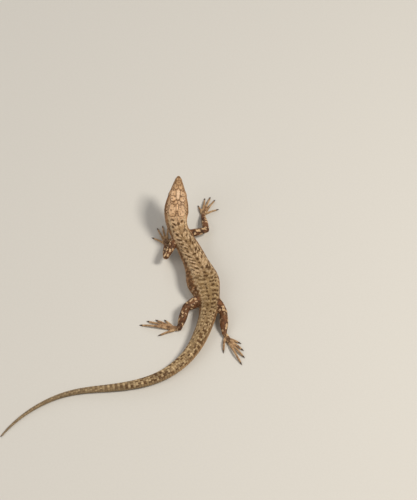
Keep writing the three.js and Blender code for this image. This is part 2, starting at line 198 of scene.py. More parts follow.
def on_spine(s, x, z):
    at, across, up, _ = spine_axes(s)
    return at + across * np.asarray(x)[..., None] + up * np.asarray(z)[..., None]


def section(s, angle, grow=0.0):
    """The body outline's x and z at distance s and an angle measured from the right side upward."""
    c, u = np.cos(angle), np.sin(angle)
    top = u >= 0
    power = 2 / np.where(top, top_square(s), under_square(s))
    taper = np.where(top, crown_taper(s), jaw_taper(s)) * u**2
    x = (half_width(s) + grow) * (1 - taper) * np.sign(c) * np.abs(c) ** power
    z = np.where(top, rise(s) + grow, -drop(s) - grow) * np.abs(u) ** power
    return x, z


def body_point(s, angle, grow=0.0):
    return on_spine(s, *section(s, angle, grow))


# ---------------------------- limbs

ANKLE = 1.0
TOE_STEPS, TOE_ARCH, TOE_BEND = 3, 0.08, -7
CLAW_LENGTH, CLAW_DIP, CLAW_LIFT = 1.25, 0.3, 0.05
CLAW_AT = (-0.2, 0.2, 0.45, 0.75, 1)
CLAW_ACROSS, CLAW_UPWARD = (0.2, 0.27, 0.22, 0.13, 0.04), (0.22, 0.3, 0.25, 0.15, 0.04)
# Each length of a limb is given with its half sizes along it, and a foot with those across and upward. A toe
# is how far ahead of the ankle and out from the foot's line it starts, how far it fans out, and its length.
FORE = dict(
    word="front", share=0.62, root_drop=0.3,
    upper=(9.0, (1.8, 1.5, 1.15)), lower=(9.3, (1.2, 1.3, 0.85)),
    foot=(3.4, (0.85, 1.25, 1.45), (0.8, 0.66, 0.55)), toe_radius=(0.5, 0.36),
    toes=[(1.8, -1.1, -22, 3.2), (2.9, -0.7, 2, 5.8), (3.3, 0.05, 12, 6.5), (3.0, 0.75, 24, 6.0),
          (1.9, 1.05, 58, 4.2)],
)
HIND = dict(
    word="hind", share=0.35, root_drop=0.65,
    upper=(8.7, (1.9, 2.2, 1.6)), lower=(8.6, (1.5, 1.65, 0.95)),
    foot=(5, (0.9, 1.1, 1.3), (0.9, 0.72, 0.58)), toe_radius=(0.55, 0.42),
    toes=[(3.3, -0.95, -30, 3.0), (4.3, -0.55, -14, 4.8), (4.9, 0, -3, 7.0), (4.8, 0.6, 9, 9.2),
          (1.9, 0.9, 40, 5.2)],
)
# Where each limb leaves the spine, how high its elbow or knee is, and the bearings of its three lengths.
LIMBS = [
    dict(kind=FORE, side=LEFT, station=24.6, joint=4.8, bearings=(-154, -1, -3)),
    dict(kind=FORE, side=RIGHT, station=24.6, joint=3.2, bearings=(59, -8, 10)),
    dict(kind=HIND, side=LEFT, station=54, joint=4.3, bearings=(-130, -162, -76)),
    dict(kind=HIND, side=RIGHT, station=54, joint=3.1, bearings=(150, 178, 150)),
]


def towards(start, length, bearing, end_height):
    run = math.sqrt(length**2 - (end_height - start[2]) ** 2)
    a = math.radians(bearing)
    return np.array([start[0] + run * math.sin(a), start[1] + run * math.cos(a), end_height])


def swell(sizes):
    return profile([(i / (len(sizes) - 1), size) for i, size in enumerate(sizes)])


class Bone:
    """A line of points with half sizes across and upward at each share of its length."""

    def __init__(self, points, across, upward, limb, kind):
        self.points = np.array(points, float)
        self.across, self.upward, self.limb, self.kind = swell(across), swell(upward), limb, kind
        lengths = np.linalg.norm(np.diff(self.points, axis=0), axis=1)
        self.length = lengths.sum()
        self.knots = np.concatenate([[0], np.cumsum(lengths)]) / self.length
        self.curves = [profile(np.column_stack([self.knots, column])) for column in self.points.T]

    def place(self, t):
        return np.stack([curve(t) for curve in self.curves], -1)

    def axes(self, t):
        """The line's place at shares t, and its axes to the side, upward and forward."""
        forward = unit(self.place(np.minimum(t + 0.02, 1)) - self.place(np.maximum(t - 0.02, 0)))
        side = unit(np.cross([0, 0, 1], forward))
        return self.place(t), side, np.cross(forward, side), forward

    def point(self, t, angle, grow):
        at, side, up, _ = self.axes(t)
        a = (self.across(t) + grow) * np.cos(angle)
        b = (self.upward(t) + grow) * np.sin(angle)
        return at + side * a[..., None] + up * b[..., None]

    def rings(self, steps, sides, grow, round_steps):
        """Rings of points round the line, drawn in over a rounded end at its start and its end."""
        bend = (np.arange(round_steps, 0, -1) - 0.35) / round_steps * np.pi / 2
        t = np.concatenate([0 * bend, np.arange(steps + 1) / steps, 0 * bend + 1])
        share = np.concatenate([np.cos(bend), np.ones(steps + 1), np.cos(bend[::-1])])
        first, last = (self.upward(end) * 0.8 + grow for end in (0, 1))
        beyond = np.concatenate([-first * np.sin(bend), np.zeros(steps + 1), last * np.sin(bend[::-1])])
        at, side, up, forward = self.axes(t)
        angle = around(sides)
        a = ((self.across(t) + grow) * share)[:, None] * np.cos(angle)
        b = ((self.upward(t) + grow) * share)[:, None] * np.sin(angle)
        centre = at + forward * beyond[:, None]
        return centre[:, None] + side[:, None] * a[..., None] + up[:, None] * b[..., None]


bones, claws = [], []
for number, limb in enumerate(LIMBS):
    kind, side, s = limb["kind"], limb["side"], limb["station"]
    b_upper, b_lower, b_foot = limb["bearings"]
    root = on_spine(float(s), side * half_width(s) * kind["share"], -kind["root_drop"])
    bend = towards(root, kind["upper"][0], b_upper, limb["joint"])
    ankle = towards(bend, kind["lower"][0], b_lower, ANKLE)
    foot_length, foot_wide, foot_thick = kind["foot"]
    knuckles = towards(ankle, foot_length, b_foot, foot_thick[2] - SINK)
    bones.append(Bone([root, bend], kind["upper"][1], kind["upper"][1], number, "upper"))
    bones.append(Bone([bend, ankle], kind["lower"][1], kind["lower"][1], number, "lower"))
    bones.append(Bone([ankle, knuckles], foot_wide, foot_thick, number, "foot"))
    ahead = towards(np.zeros(3), 1, b_foot, 0)
    outward = towards(np.zeros(3), 1, b_foot + side * 90, 0)
    thick, thin = kind["toe_radius"]
    for toe_ahead, out, fan, length in kind["toes"]:
        line = [ankle * [1, 1, 0] + [0, 0, thick] + ahead * toe_ahead + outward * out]
        for k in range(1, TOE_STEPS + 1):
            t = k / TOE_STEPS
            nxt = towards(line[-1], length / TOE_STEPS, b_foot + side * (fan + TOE_BEND * t), line[-1][2])
            nxt[2] = thick + (thin - SINK - thick) * t + TOE_ARCH * length * math.sin(math.pi * t)
            line.append(nxt)
        bones.append(Bone(line, (thick, thin), (thick, thin), number, "toe"))
        way = unit((line[-1] - line[-2]) * [1, 1, 0])
        rises = [[0, 0, CLAW_LIFT - CLAW_DIP * t * t * (t > 0)] for t in CLAW_AT]
        claw = [line[-1] + way * CLAW_LENGTH * t + lift for t, lift in zip(CLAW_AT, rises)]
        claws.append(Bone(claw, CLAW_ACROSS, CLAW_UPWARD, number, "claw"))
PER_LIMB = len(bones) // len(LIMBS)

# ---------------------------- making meshes


def grid_tris(rings, sides, wrap=False):
    """Triangles from each ring of points to the next, and with wrap from the last ring to the first."""
    i, j = np.meshgrid(np.arange(rings if wrap else rings - 1) * sides, np.arange(sides), indexing="ij")
    nxt, far = (j + 1) % sides, (i + sides) % (rings * sides)
    a, b, c, d = (i + j).ravel(), (i + nxt).ravel(), (far + nxt).ravel(), (far + j).ravel()
    return np.concatenate([np.stack([a, b, c], -1), np.stack([a, c, d], -1)])


def outward_faces(verts, tris):
    """Turns the triangles of a closed skin over when they enclose a negative volume."""
    a, b, c = (verts[tris[:, k]] for k in range(3))
    return tris if np.einsum("ij,ij->i", a, np.cross(b, c)).sum() > 0 else tris[:, ::-1]


def join_lofts(parts):
    """Vertices and triangles of closed skins, each through its own rings of points, all facing out."""
    all_verts, all_tris, count = [], [], 0
    for rings in parts:
        n, sides = rings.shape[:2]
        verts = np.concatenate([rings.reshape(-1, 3), rings[[0, -1]].mean(1)])
        k = np.arange(sides)
        nxt, far = (k + 1) % sides, (n - 1) * sides
        first, last = 0 * k + n * sides, 0 * k + n * sides + 1
        caps = [np.stack([first, nxt, k], -1), np.stack([last, far + k, far + nxt], -1)]
        all_verts.append(verts)
        all_tris.append(outward_faces(verts, np.concatenate([grid_tris(n, sides)] + caps)) + count)
        count += len(verts)
    return np.concatenate(all_verts), np.concatenate(all_tris)


def mesh_object(name, verts, tris, colours=None, uvs=None):
    """An object from triangles, with a colour for each vertex, and a bake map by vertex or by corner."""
    mesh = bpy.data.meshes.new(name)
    mesh.vertices.add(len(verts))
    mesh.vertices.foreach_set("co", (verts * MM).astype(np.float32).ravel())
    mesh.loops.add(tris.size)
    mesh.loops.foreach_set("vertex_index", tris.astype(np.int32).ravel())
    mesh.polygons.add(len(tris))
    mesh.polygons.foreach_set("loop_start", np.arange(0, tris.size, 3, dtype=np.int32))
    mesh.update(calc_edges=True)
    mesh.validate()
    mesh.polygons.foreach_set("use_smooth", np.ones(len(mesh.polygons), bool))
    if colours is not None:
        layer = mesh.color_attributes.new("coat", "FLOAT_COLOR", "POINT")
        opaque = np.column_stack([colours, np.ones(len(colours))])
        layer.data.foreach_set("color", opaque.astype(np.float32).ravel())
    if uvs is not None:
        corners = uvs if uvs.ndim == 3 else uvs[tris]
        mesh.uv_layers.new(name="OFBake").data.foreach_set("uv", corners.astype(np.float32).ravel())
    return new_object(name, mesh)


def ball(station, x, z, sizes, rings=16, sides=24):
    """Rings of a ball beside the spine, with its half sizes across, back and upward."""
    _, across, up, back = spine_axes(station)
    polar = ((np.arange(rings) + 0.5) / rings * np.pi)[:, None]
    angle = around(sides)
    parts = np.sin(polar) * np.cos(angle), np.cos(polar) + 0 * angle, np.sin(polar) * np.sin(angle)
    x_part, y_part, z_part = (part[..., None] * size for part, size in zip(parts, sizes))
    return on_spine(float(station), x, z) + x_part * across + y_part * back + z_part * up


# ---------------------------- the skin

BROW = dict(station=7.9, across=2.05, up=1.1, sizes=(1.5, 2.25, 1.8))
EYE = dict(station=7.8, across=2.3, up=1.05, radius=1.35)
EAR = dict(station=14.4, up=-0.5, wide=0.62, tall=0.9)
MOUTH = profile([(-1, -0.25), (2.5, -0.45), (6, -0.8), (9, -1.15), (11, -1.5), (12.0, -2.0)])
MOUTH_END = 11.6
VOXEL = 0.22

# The body, brows, limbs and toes are cast as one closed skin, a coat's depth inside the solids.
snout, trunk, tail = np.arange(0.3, 4, 0.2), np.arange(4, TAIL_START, 0.4), np.arange(TAIL_START, TOTAL, 0.7)
lengthwise = np.concatenate([[0.03, 0.15], snout, trunk, tail, [TOTAL - 0.1]])[:, None]
parts = [body_point(lengthwise, around(64), -COAT)]
for side in (LEFT, RIGHT):
    sizes = [v - COAT for v in BROW["sizes"]]
    parts.append(ball(BROW["station"], side * BROW["across"], BROW["up"], sizes))
for bone in bones:
    steps, sides, grow = (12, 14, -COAT / 2) if bone.kind == "toe" else (16, 28, -COAT)
    parts.append(bone.rings(steps, sides, grow, round_steps=4))
raw_verts, raw_tris = join_lofts(parts)
raw = bpy.data.meshes.new("raw")
raw.from_pydata(raw_verts.tolist(), [], raw_tris.tolist())
raw_object = new_object("raw", raw)
remesh = raw_object.modifiers.new("remesh", "REMESH")
remesh.mode = "VOXEL"
remesh.voxel_size = VOXEL
evaluated = raw_object.evaluated_get(bpy.context.evaluated_depsgraph_get())
mesh = evaluated.to_mesh()
skin_verts = np.array([v.co[:] for v in mesh.vertices])
skin_faces = [list(p.vertices) for p in mesh.polygons]
edges = np.array([e.vertices[:] for e in mesh.edges])
evaluated.to_mesh_clear()
bpy.data.objects.remove(raw_object)
skin_quads = np.array([f if len(f) == 4 else f + [f[-1]] for f in skin_faces])


def smoothed(values, times):
    """Values on the skin's vertices, each moved halfway to its neighbours' mean a number of times."""
    n = len(values)
    degree = np.bincount(edges.ravel(), minlength=n)[:, None]
    a, b = edges.T
    for _ in range(times):
        total = np.stack([np.bincount(a, v[b], n) + np.bincount(b, v[a], n) for v in values.T], -1)
        values = values + 0.5 * (total / degree - values)
    return values


def vertex_normals(verts, quads):
    total = np.zeros_like(verts)
    face = np.cross(verts[quads[:, 2]] - verts[quads[:, 0]], verts[quads[:, 3]] - verts[quads[:, 1]])
    for k in range(4):
        for axis in range(3):
            total[:, axis] += np.bincount(quads[:, k], face[:, axis], len(verts))
    return unit(total)


skin_verts = smoothed(skin_verts, 5)

# ---------------------------- where a point lies on the body

ROW_STEP = 0.5
rows = np.arange(0, TOTAL + 0.01, ROW_STEP)
fine_angle = np.pi / 2 - np.linspace(0, np.pi, 257)
row_x, row_z = section(rows[:, None], fine_angle + 0 * rows[:, None])
row_arc = np.cumsum(np.hypot(np.diff(row_x), np.diff(row_z)), 1)
row_arc = np.column_stack([0 * rows, row_arc])
half_girth = profile(np.column_stack([rows, row_arc[:, -1]]))
SHARES, POLARS = np.linspace(0, 1, 65), np.linspace(0, np.pi, 129)
angle_table = np.array([np.interp(SHARES * arc[-1], arc, fine_angle) for arc in row_arc])
polar_table = np.array([
    np.interp(POLARS, np.maximum.accumulate(np.arctan2(x, z)), arc / arc[-1])
    for x, z, arc in zip(row_x, row_z, row_arc)
])
# How far the coat is turned round the trunk as it bends, in millimetres round its girth.
twist = profile([
    (20, 0), (24, -0.75), (30, -0.6), (36, -0.2), (40, 0.3), (44, 0.9), (50, 1.1), (58, 0.7), (66, 0),
])


def wrapped(share):
    return (share + 1) % 2 - 1


def grid_read(table, row, column):
    """Reads a table between its rows and columns, both given as shares of an index."""
    row = np.clip(row, 0, table.shape[0] - 1.001)
    column = np.clip(column, 0, table.shape[1] - 1.001)
    r, c = row.astype(int), column.astype(int)
    fr, fc = row - r, column - c
    top = table[r, c] * (1 - fc) + table[r, c + 1] * fc
    return top * (1 - fr) + (table[r + 1, c] * (1 - fc) + table[r + 1, c + 1] * fc) * fr


def girth_angle(s, share):
    """The section angle of a share of the way round, 0 on the back and +1 or -1 under the belly."""
    share = wrapped(share + twist(s) / half_girth(s))
    a = grid_read(angle_table, s / ROW_STEP, np.abs(share) * (len(SHARES) - 1))
    return np.where(share >= 0, a, np.pi - a)


def body_place(points):
    """Distance s, share round the body, height over its surface, and x and z for each point."""
    best = np.full(len(points), np.inf)
    nearest = np.zeros(len(points), int)
    for i in range(0, len(spine), 2):
        d = ((points - spine[i]) ** 2).sum(1)
        closer = d < best
        best[closer], nearest[closer] = d[closer], i
    rel = points - spine[nearest]
    s = stations[nearest] + np.clip((rel * BACK[nearest]).sum(1), -0.5, 0.5)
    x, z = (rel * ACROSS[nearest]).sum(1), (rel * UP[nearest]).sum(1)
    polar = np.arctan2(np.abs(x), z) / np.pi * (len(POLARS) - 1)
    share = np.sign(x + 1e-9) * grid_read(polar_table, np.clip(s, 0, TOTAL) / ROW_STEP, polar)
    share = wrapped(share - twist(s) / half_girth(s))
    top = z >= 0
    b, n = np.where(top, rise(s), drop(s)), np.where(top, top_square(s), under_square(s))
    r = np.maximum(np.hypot(x, z), 1e-6)
    a = half_width(s) * (1 - np.where(top, crown_taper(s), jaw_taper(s)) * (z / r) ** 2)
    edge = 1 / ((np.abs(x / r) / a) ** n + (np.abs(z / r) / b) ** n) ** (1 / n)
    return s, share, r - edge, x, z


def bone_place(points):
    """The nearest bone of each point, the share along it, and the height over its surface."""
    best = np.full(len(points), np.inf)
    which, where = np.zeros(len(points), int), np.zeros(len(points))
    for number, bone in enumerate(bones):
        for k in range(len(bone.points) - 1):
            a, b = bone.points[k], bone.points[k + 1]
            t = np.clip((points - a) @ (b - a) / ((b - a) @ (b - a)), 0, 1)
            share = bone.knots[k] + t * (bone.knots[k + 1] - bone.knots[k])
            gap = np.linalg.norm(points - a - t[:, None] * (b - a), axis=1) - bone.upward(share)
            closer = gap < best
            best[closer], which[closer], where[closer] = gap[closer], number, share[closer]
    return which, where, best


# ---------------------------- folds, lids, ears and mouth

skin_s, skin_share, body_gap, skin_x, skin_z = body_place(skin_verts)
_, _, limb_gap = bone_place(skin_verts)
out_share = np.abs(skin_share)
on_body = body_gap < 0.5

# Where a limb leaves the body the two are blended by more smoothing.
joined = fade(0.5, 1.6, np.abs(body_gap)) * fade(0.5, 1.6, np.abs(limb_gap))
joined *= skin_s > 20
skin_verts = skin_verts + joined[:, None] * (smoothed(skin_verts, 26) - skin_verts)

# The mouth's line, and the ears' pits with a raised rim.
push = -0.13 * hump(skin_z, MOUTH(skin_s), 0.13) * (skin_s < MOUTH_END) * (skin_s > 0.1)
ear_near = np.hypot((skin_s - EAR["station"]) / EAR["wide"], (skin_z - EAR["up"]) / EAR["tall"])
at_side = np.abs(skin_x) > 2
push -= 0.5 * fade(0.55, 1.1, ear_near) * at_side
push += 0.1 * hump(ear_near, 1.25, 0.22) * at_side
# The throat's fold and the collar, as place, width and depth, then creases where the neck bends.
for fold, wide, depth in ((17.2, 0.35, 0.16), (22.4, 0.3, 0.2)):
    push -= depth * hump(skin_s, fold, wide) * smoothstep(0.55, 0.8, out_share) * on_body
for fold, tilt, depth in ((18.3, 1.2, 0.1), (19.9, 1.5, 0.12), (21.4, 1.6, 0.13)):
    crease = hump(skin_s, fold + tilt * (out_share - 0.5), 0.22) * hump(out_share, 0.5, 0.14) * on_body
    push -= depth * crease * np.where(skin_x > 0, 1.2, 0.6)
# A slack fold runs along each flank between the legs, over a hint of ribs.
flank = between(skin_s, 28, 31, 47, 50) * on_body
push += flank * (0.1 * hump(out_share, 0.62, 0.05) - 0.07 * hump(out_share, 0.7, 0.03))
push += 0.035 * flank * np.sin(skin_s * 2.6) * hump(out_share, 0.5, 0.16)
skin_verts = skin_verts + vertex_normals(skin_verts, skin_quads) * push[:, None]

# The skin is pressed in behind each eye's slit, so that the eyeball shows.
SOCKET = 0.3
eyes = {}
for side, word in ((LEFT, "left"), (RIGHT, "right")):
    _, across, up, back = spine_axes(EYE["station"])
    centre = on_spine(EYE["station"], side * EYE["across"], EYE["up"])
    look = unit(across * side + up * 0.16 - back * 0.14)
    length = unit(back - look * (back @ look))
    upright = np.cross(look, length)
    upright *= np.sign(upright @ up)
    eyes[word] = dict(centre=centre, look=look, length=length, upright=upright)
    rel = skin_verts - centre
    slit = np.hypot((rel @ length) / 1.1, (rel @ upright) / 0.82)
    r = np.linalg.norm(rel, axis=1)
    inside = fade(0.95, 1.2, slit) * (rel @ look > 0.2) * (r < 2.2)
    skin_verts = skin_verts - unit(rel) * (inside * (r - (EYE["radius"] - SOCKET)))[:, None]

skin_verts[:, 2] = np.maximum(skin_verts[:, 2], SINK)
normals = vertex_normals(skin_verts, skin_quads)
face_normals = unit(smoothed(normals, 4)[skin_quads].mean(1))
tree = BVHTree.FromPolygons(skin_verts.tolist(), skin_faces)


def nearest_on_skin(points):
    """The nearest places on the skin, its normals there, and how far away they are."""
    places, _, faces, off = zip(*(tree.find_nearest(p) for p in points.tolist()))
    return np.array(places), face_normals[list(faces)], np.array(off)


def cast_on_skin(origins, directions):
    """Where rays meet the skin, and its normals there; the nearest place where a ray misses."""
    found = []
    for o, d in zip(origins.tolist(), directions.tolist()):
        hit = tree.ray_cast(o, d)
        found.append(hit if hit[0] is not None else tree.find_nearest(o))
    return np.array([f[0] for f in found]), face_normals[[f[2] for f in found]]


# ---------------------------- markings


def linear(r, g, b):
    c = np.array([r, g, b]) / 255
    return np.where(c <= 0.04045, c / 12.92, ((c + 0.055) / 1.055) ** 2.4)


BACK_TONE, BACK_LIGHT = linear(178, 145, 104), linear(204, 173, 137)
LIGHT_BAR, MARK = linear(216, 188, 152), linear(84, 52, 20)
FLANK_TONE, FLANK_DARK, PALE_SPOT = linear(182, 138, 96), linear(92, 60, 31), linear(204, 178, 142)
BELLY_TONE, THROAT_TONE = linear(226, 204, 168), linear(230, 214, 186)
TAIL_TONE, TAIL_END = linear(160, 132, 98), linear(132, 112, 88)
LIMB_TONE, LIMB_DARK = linear(134, 90, 58), linear(64, 38, 19)
LIMB_SPOT, TOE_TONE = linear(222, 188, 146), linear(196, 164, 126)
HEAD_TONE, HEAD_LIGHT, HEAD_DARK = linear(198, 158, 118), linear(221, 185, 149), linear(88, 54, 24)
HEAD_PALE_AND_SHEEN, SNOUT_TONE = linear(224, 194, 164), linear(166, 130, 92)
LIP_TONE, SIDE_TONE, LID_RIM = linear(206, 178, 140), linear(148, 106, 64), linear(60, 42, 28)
IRIS_LIGHT, IRIS_DARK, IRIS_RIM = linear(176, 118, 46), linear(82, 46, 20), linear(216, 168, 84)
PUPIL_TONE = np.array([0.004, 0.003, 0.002])


def scatter(i, j, k, seed):
    """A steady pseudo-random value in 0 to 1 for whole numbers i, j and k."""
    i, j, k = (v.astype(np.int64) for v in (i, j, k))
    n = (i * 374761393 + j * 668265263 + k * 2147483629 + seed * 974634777) & 0xFFFFFFFF
    n = ((n ^ (n >> 13)) * 1274126177) & 0xFFFFFFFF
    return ((n ^ (n >> 16)) & 0xFFFF) / 65535.0


def noise(points, size, seed):
    """A smooth random value round 0, to half a unit either way, that changes over about a size."""
    p = points / size + 1000.0
    i = np.floor(p)
    f = p - i
    f = f * f * (3 - 2 * f)
    corners = product((0, 1), repeat=3)
    return sum(np.prod(np.where(c, f, 1 - f), 1) * scatter(*(i + c).T, seed) for c in corners) - 0.5


def blend(a, b, share):
    share = np.clip(share, 0, 1)[:, None]
    return a * (1 - share) + b * share


def layered(colour, *layers):
    """A colour with (tone, share) layers laid over it in turn."""
    for tone, share in layers:
        colour = blend(colour, tone, share)
    return colour


def slant(s):
    """How far a bar swings forward for each millimetre away from the middle of the back."""
    return ramp(
        s, (18, 0.35), (24, 0.65), (30, 0.8), (36, 0.8), (42, 0.5), (46, 0.2), (49, 0.1), (54, 0.6),
        (60, 0.5),
    )


BAR_PITCH = 1.75


def mark_row(out, wide, long, phase, lean=1.0, pitch=BAR_PITCH, loose=0.4, keep=0.92):
    """A row of blots along the body: how far out from the middle, half sizes, spacing and randomness."""
    return dict(out=out, wide=wide, long=long, phase=phase, lean=lean, pitch=pitch, loose=loose, keep=keep)


MID_ROW = mark_row(0, 0.5, 0.75, 0.0, lean=0, loose=0.6, keep=0.8, pitch=2.1)
BOLD_ROW = mark_row(0, 0.66, 0.56, 0.3, lean=0, loose=0.35, keep=0.95, pitch=1.85)
PAIR_ROW = mark_row(1.15, 0.62, 0.5, 0.2, lean=0.3, loose=0.45, keep=0.9)
DARK_ROWS = [
    mark_row(2.1, 0.85, 0.5, 0.5, loose=0.5, keep=0.85), mark_row(3.9, 1.0, 0.5, 0.42, loose=0.5),
    mark_row(5.4, 0.8, 0.5, 0.5, loose=0.5),
]
LIGHT_ROWS = [
    mark_row(1.0, 0.6, 0.5, 0.0, keep=0.7), mark_row(2.4, 1.05, 0.5, 0.0, loose=0.45),
    mark_row(4.2, 1.1, 0.5, 0.0, loose=0.45),
]
FLANK_ROWS = [
    mark_row(6.3, 0.36, 0.42, 0.2, pitch=1.9, loose=0.9, keep=0.55),
    mark_row(7.6, 0.42, 0.5, 0.7, pitch=1.7, loose=0.8, keep=0.75),
]
BAR_ROW = mark_row(6.4, 1.1, 0.5, 0.6, lean=0.3, pitch=1.9, keep=0.9)
EDGE_ROWS = [
    mark_row(9.4, 0.4, 0.42, 0.1, pitch=1.4, keep=0.8), mark_row(11.0, 0.4, 0.36, 0.5, pitch=1.3, keep=0.7),
    mark_row(12.3, 0.25, 0.3, 0.5, pitch=1.3, keep=0.35),
]
THROAT_ROWS = [
    mark_row(out, 0.26, 0.24, out * 0.7, pitch=1.15, loose=0.8, keep=0.6) for out in (7.5, 8.8, 10.1, 11.6)
]


def marks(s, arc, row, seed):
    """Blots along one lengthwise row on each side, each moved, sized and sometimes left out at random."""
    out = np.abs(arc) - row["out"]
    side = np.sign(arc + 1e-9) * (row["out"] > 0)
    u = (s + row["lean"] * slant(s) * out) / row["pitch"] + row["phase"] + 0.13 * side
    step = np.floor(u)
    dice = [scatter(step, side, step * 0, seed + 7 * k) for k in range(4)]
    du = (u - step - 0.5 - (dice[0] - 0.5) * row["loose"]) * row["pitch"]
    dv = out - (dice[1] - 0.5) * row["loose"] * row["wide"] * 1.6
    r = np.hypot(du / row["long"] / (0.75 + 0.5 * dice[2]), dv / row["wide"] / (0.75 + 0.5 * dice[3]))
    return fade(0.72, 1.18, r) * (dice[0] * 0.4 + dice[2] * 0.6 < row["keep"])


def most(s, arc, rows, seed):
    return np.max([marks(s, arc, row, seed + 31 * k) for k, row in enumerate(rows)], 0)


def body_colour(points, s, share):
    edge = np.abs(share)
    size = np.clip(half_girth(s) / 15.0, 0.2, 1.1)
    arc = share * half_girth(s) / size
    rough = noise(points, 1.6, 1)
    grain = noise(points, 0.55, 2)
    # The head and neck are warmer than the back, and the tail is greyer towards its end. Painted shade
    # darkens and deepens the back from the neck to the hips, and it eases off along the tail.
    head_tone = blend(HEAD_TONE, HEAD_LIGHT, 0.35 + 1.2 * rough + 0.3 * grain)
    neck = fade(14, 24, s)
    colour = layered(BACK_TONE, (BACK_LIGHT, 0.35 + 0.9 * rough + 0.6 * grain), (head_tone, neck))
    shade = ramp(s, (20, 1), (28, 0.81), (36, 0.77), (44, 0.77), (50, 0.71), (60, 0.7), (68, 0.9), (80, 1))
    shade = shade[:, None]
    colour = colour * shade ** np.array([1, 1.05, 1.3])
    tail = blend(TAIL_TONE, TAIL_END, smoothstep(75, 140, s) + 0.6 * rough) * shade
    colour = blend(colour, tail, smoothstep(56, 66, s))
    # Rows of light and dark bars swing forward away from a broken dark line along the back. The line is
    # bold from the waist to the belly's widest place, and parts into two rows behind it.
    swing = ramp(s, (17, 17), (44, 38), (62, 56), (TOTAL, TOTAL - 6)) + 0.35 * rough
    on_back = smoothstep(17, 18.5, s) * (1 - 0.7 * smoothstep(95, 140, s))
    light = ramp(s, (40, 0.8), (50, 0.5)) * most(swing, arc, LIGHT_ROWS, 11)
    colour = blend(colour, LIGHT_BAR, light * on_back)
    rear, bold = between(s, 46, 49, 75, 85), between(s, 33, 36, 47, 49)
    line = np.maximum(0.85 * marks(swing, arc, MID_ROW, 21), hump(arc, 0, 0.5) * (0.26 + 0.5 * rough))
    dark = np.maximum((1 - rear) * (1 - 0.8 * bold) * line, 0.9 * rear * marks(swing, arc, PAIR_ROW, 23))
    sides = 0.92 * most(swing, arc + 0.9 * rough, DARK_ROWS, 31)
    dark = np.maximum(dark, sides * (1 - 0.5 * rear * (arc < 0)))
    dark *= np.clip(1.075 + 0.95 * noise(points, 2.4, 8), 0, 1)
    dark = np.maximum(dark, 0.9 * bold * marks(swing, arc + 0.5 * rough, BOLD_ROW, 25))
    colour = blend(colour, MARK, dark * on_back)
    colour = colour * (1 - smoothstep(42, 50, s)[:, None] * [0.04, 0.03, 0.1])
    # The flank's dark band starts behind the eye, with a pale broken line over it and pale flecks in it.
    low = ramp(s, (9, 0.31), (16, 0.31), (24, 0.32), (60, 0.32), (100, 0.38))
    high = ramp(s, (9, 0.42), (13, 0.46), (20, 0.5), (30, 0.56), (60, 0.58))
    beat = (swing + slant(swing) * 4.3) / BAR_PITCH + 0.13 * np.sign(share)
    low = low - 0.028 * np.cos(2 * np.pi * beat) * between(s, 19, 23, 60, 75)
    band = smoothstep(low - 0.02, low + 0.035, edge + 0.04 * rough)
    band *= fade(high, high + 0.06, edge - 0.05 * rough)
    band *= between(s, 9.2, 10.6, 80, 115) * (1 - 0.5 * smoothstep(58, 70, s))
    flank = layered(
        FLANK_TONE,
        (FLANK_DARK, 0.35 + 1.3 * grain + 1.2 * rough),
        (PALE_SPOT, 0.65 * most(s + 0.6 * rough, arc, FLANK_ROWS, 71) * smoothstep(16, 22, s)),
        (FLANK_DARK, 0.75 * hump(edge + 0.05 * rough, low + 0.05, 0.045) * smoothstep(20, 26, s)),
        (FLANK_DARK, 0.6 * marks(swing, arc, BAR_ROW, 77) * smoothstep(36, 42, s)),
    )
    colour = blend(colour, flank, band * ramp(s, (9, 0.75), (14, 0.62), (22, 0.85), (30, 1)))
    stripe = hump(edge, low - 0.035, ramp(s, (24, 0.034), (32, 0.022))) * between(s, 9.5, 12, 62, 76)
    stripe *= 1 - 0.8 * most(swing, arc, DARK_ROWS[2:], 93) * smoothstep(22, 27, s)
    stripe *= ramp(s, (10, 0.8), (15, 1), (24, 0.95), (30, 0.65)) + 0.6 * rough
    colour = blend(colour, PALE_SPOT, stripe)
    # Below the flank the colour pales to a cream belly with dark flecks along its edge.
    start = ramp(s, (0, 0.52), (8, 0.49), (14, 0.52), (18, 0.57), (26, 0.64), (58, 0.66), (90, 0.74))
    pale = smoothstep(start - 0.02, start + 0.05, edge + 0.04 * rough) * (1 - smoothstep(60, 90, s) * 0.65)
    chest = smoothstep(19, 24, s)
    belly = layered(
        BELLY_TONE,
        (THROAT_TONE, neck),
        (LIMB_DARK, 0.72 * most(s, arc, EDGE_ROWS, 83) * chest),
        (LIMB_DARK, 0.6 * most(s, arc, THROAT_ROWS, 87) * (1 - chest)),
    )
    return blend(colour, belly, pale)


SPOT_SPACING = 1.7


def limb_colour(points, normal, toe, foot):
    """Brown with round pale spots ringed in dark, paler on the feet, palest on the toes and underneath."""
    rough = noise(points, 1.1, 5)
    grain = noise(points, 0.45, 6)
    cell = points / SPOT_SPACING + 0.9 * noise(points, 2.0, 9)[:, None]
    i = np.floor(cell)
    best = np.full(len(points), 9.0)
    for step in product((-1, 0, 1), repeat=3):
        jitter = np.stack([scatter(*(i + step).T, 40 + k) for k in range(3)], -1)
        best = np.minimum(best, np.linalg.norm(cell - i - step - 0.2 - 0.6 * jitter, axis=1))
    spot = fade(0.3, 0.44, best + 0.25 * grain)
    ring = fade(0.44, 0.62, best) * (1 - spot)
    strength = np.where(toe, 0.25, 1.0)
    return layered(
        LIMB_TONE,
        (LIMB_DARK, 0.35 + 1.3 * rough + 0.6 * grain),
        (blend(TOE_TONE, LIMB_TONE, 0.25 + rough + grain), np.where(toe, 0.8, np.where(foot, 0.5, 0.0))),
        (LIMB_DARK, 0.6 * ring * strength),
        (LIMB_SPOT, 0.92 * spot * strength),
        (BELLY_TONE, smoothstep(0.25, 0.75, -normal[:, 2]) * 0.85),
    )


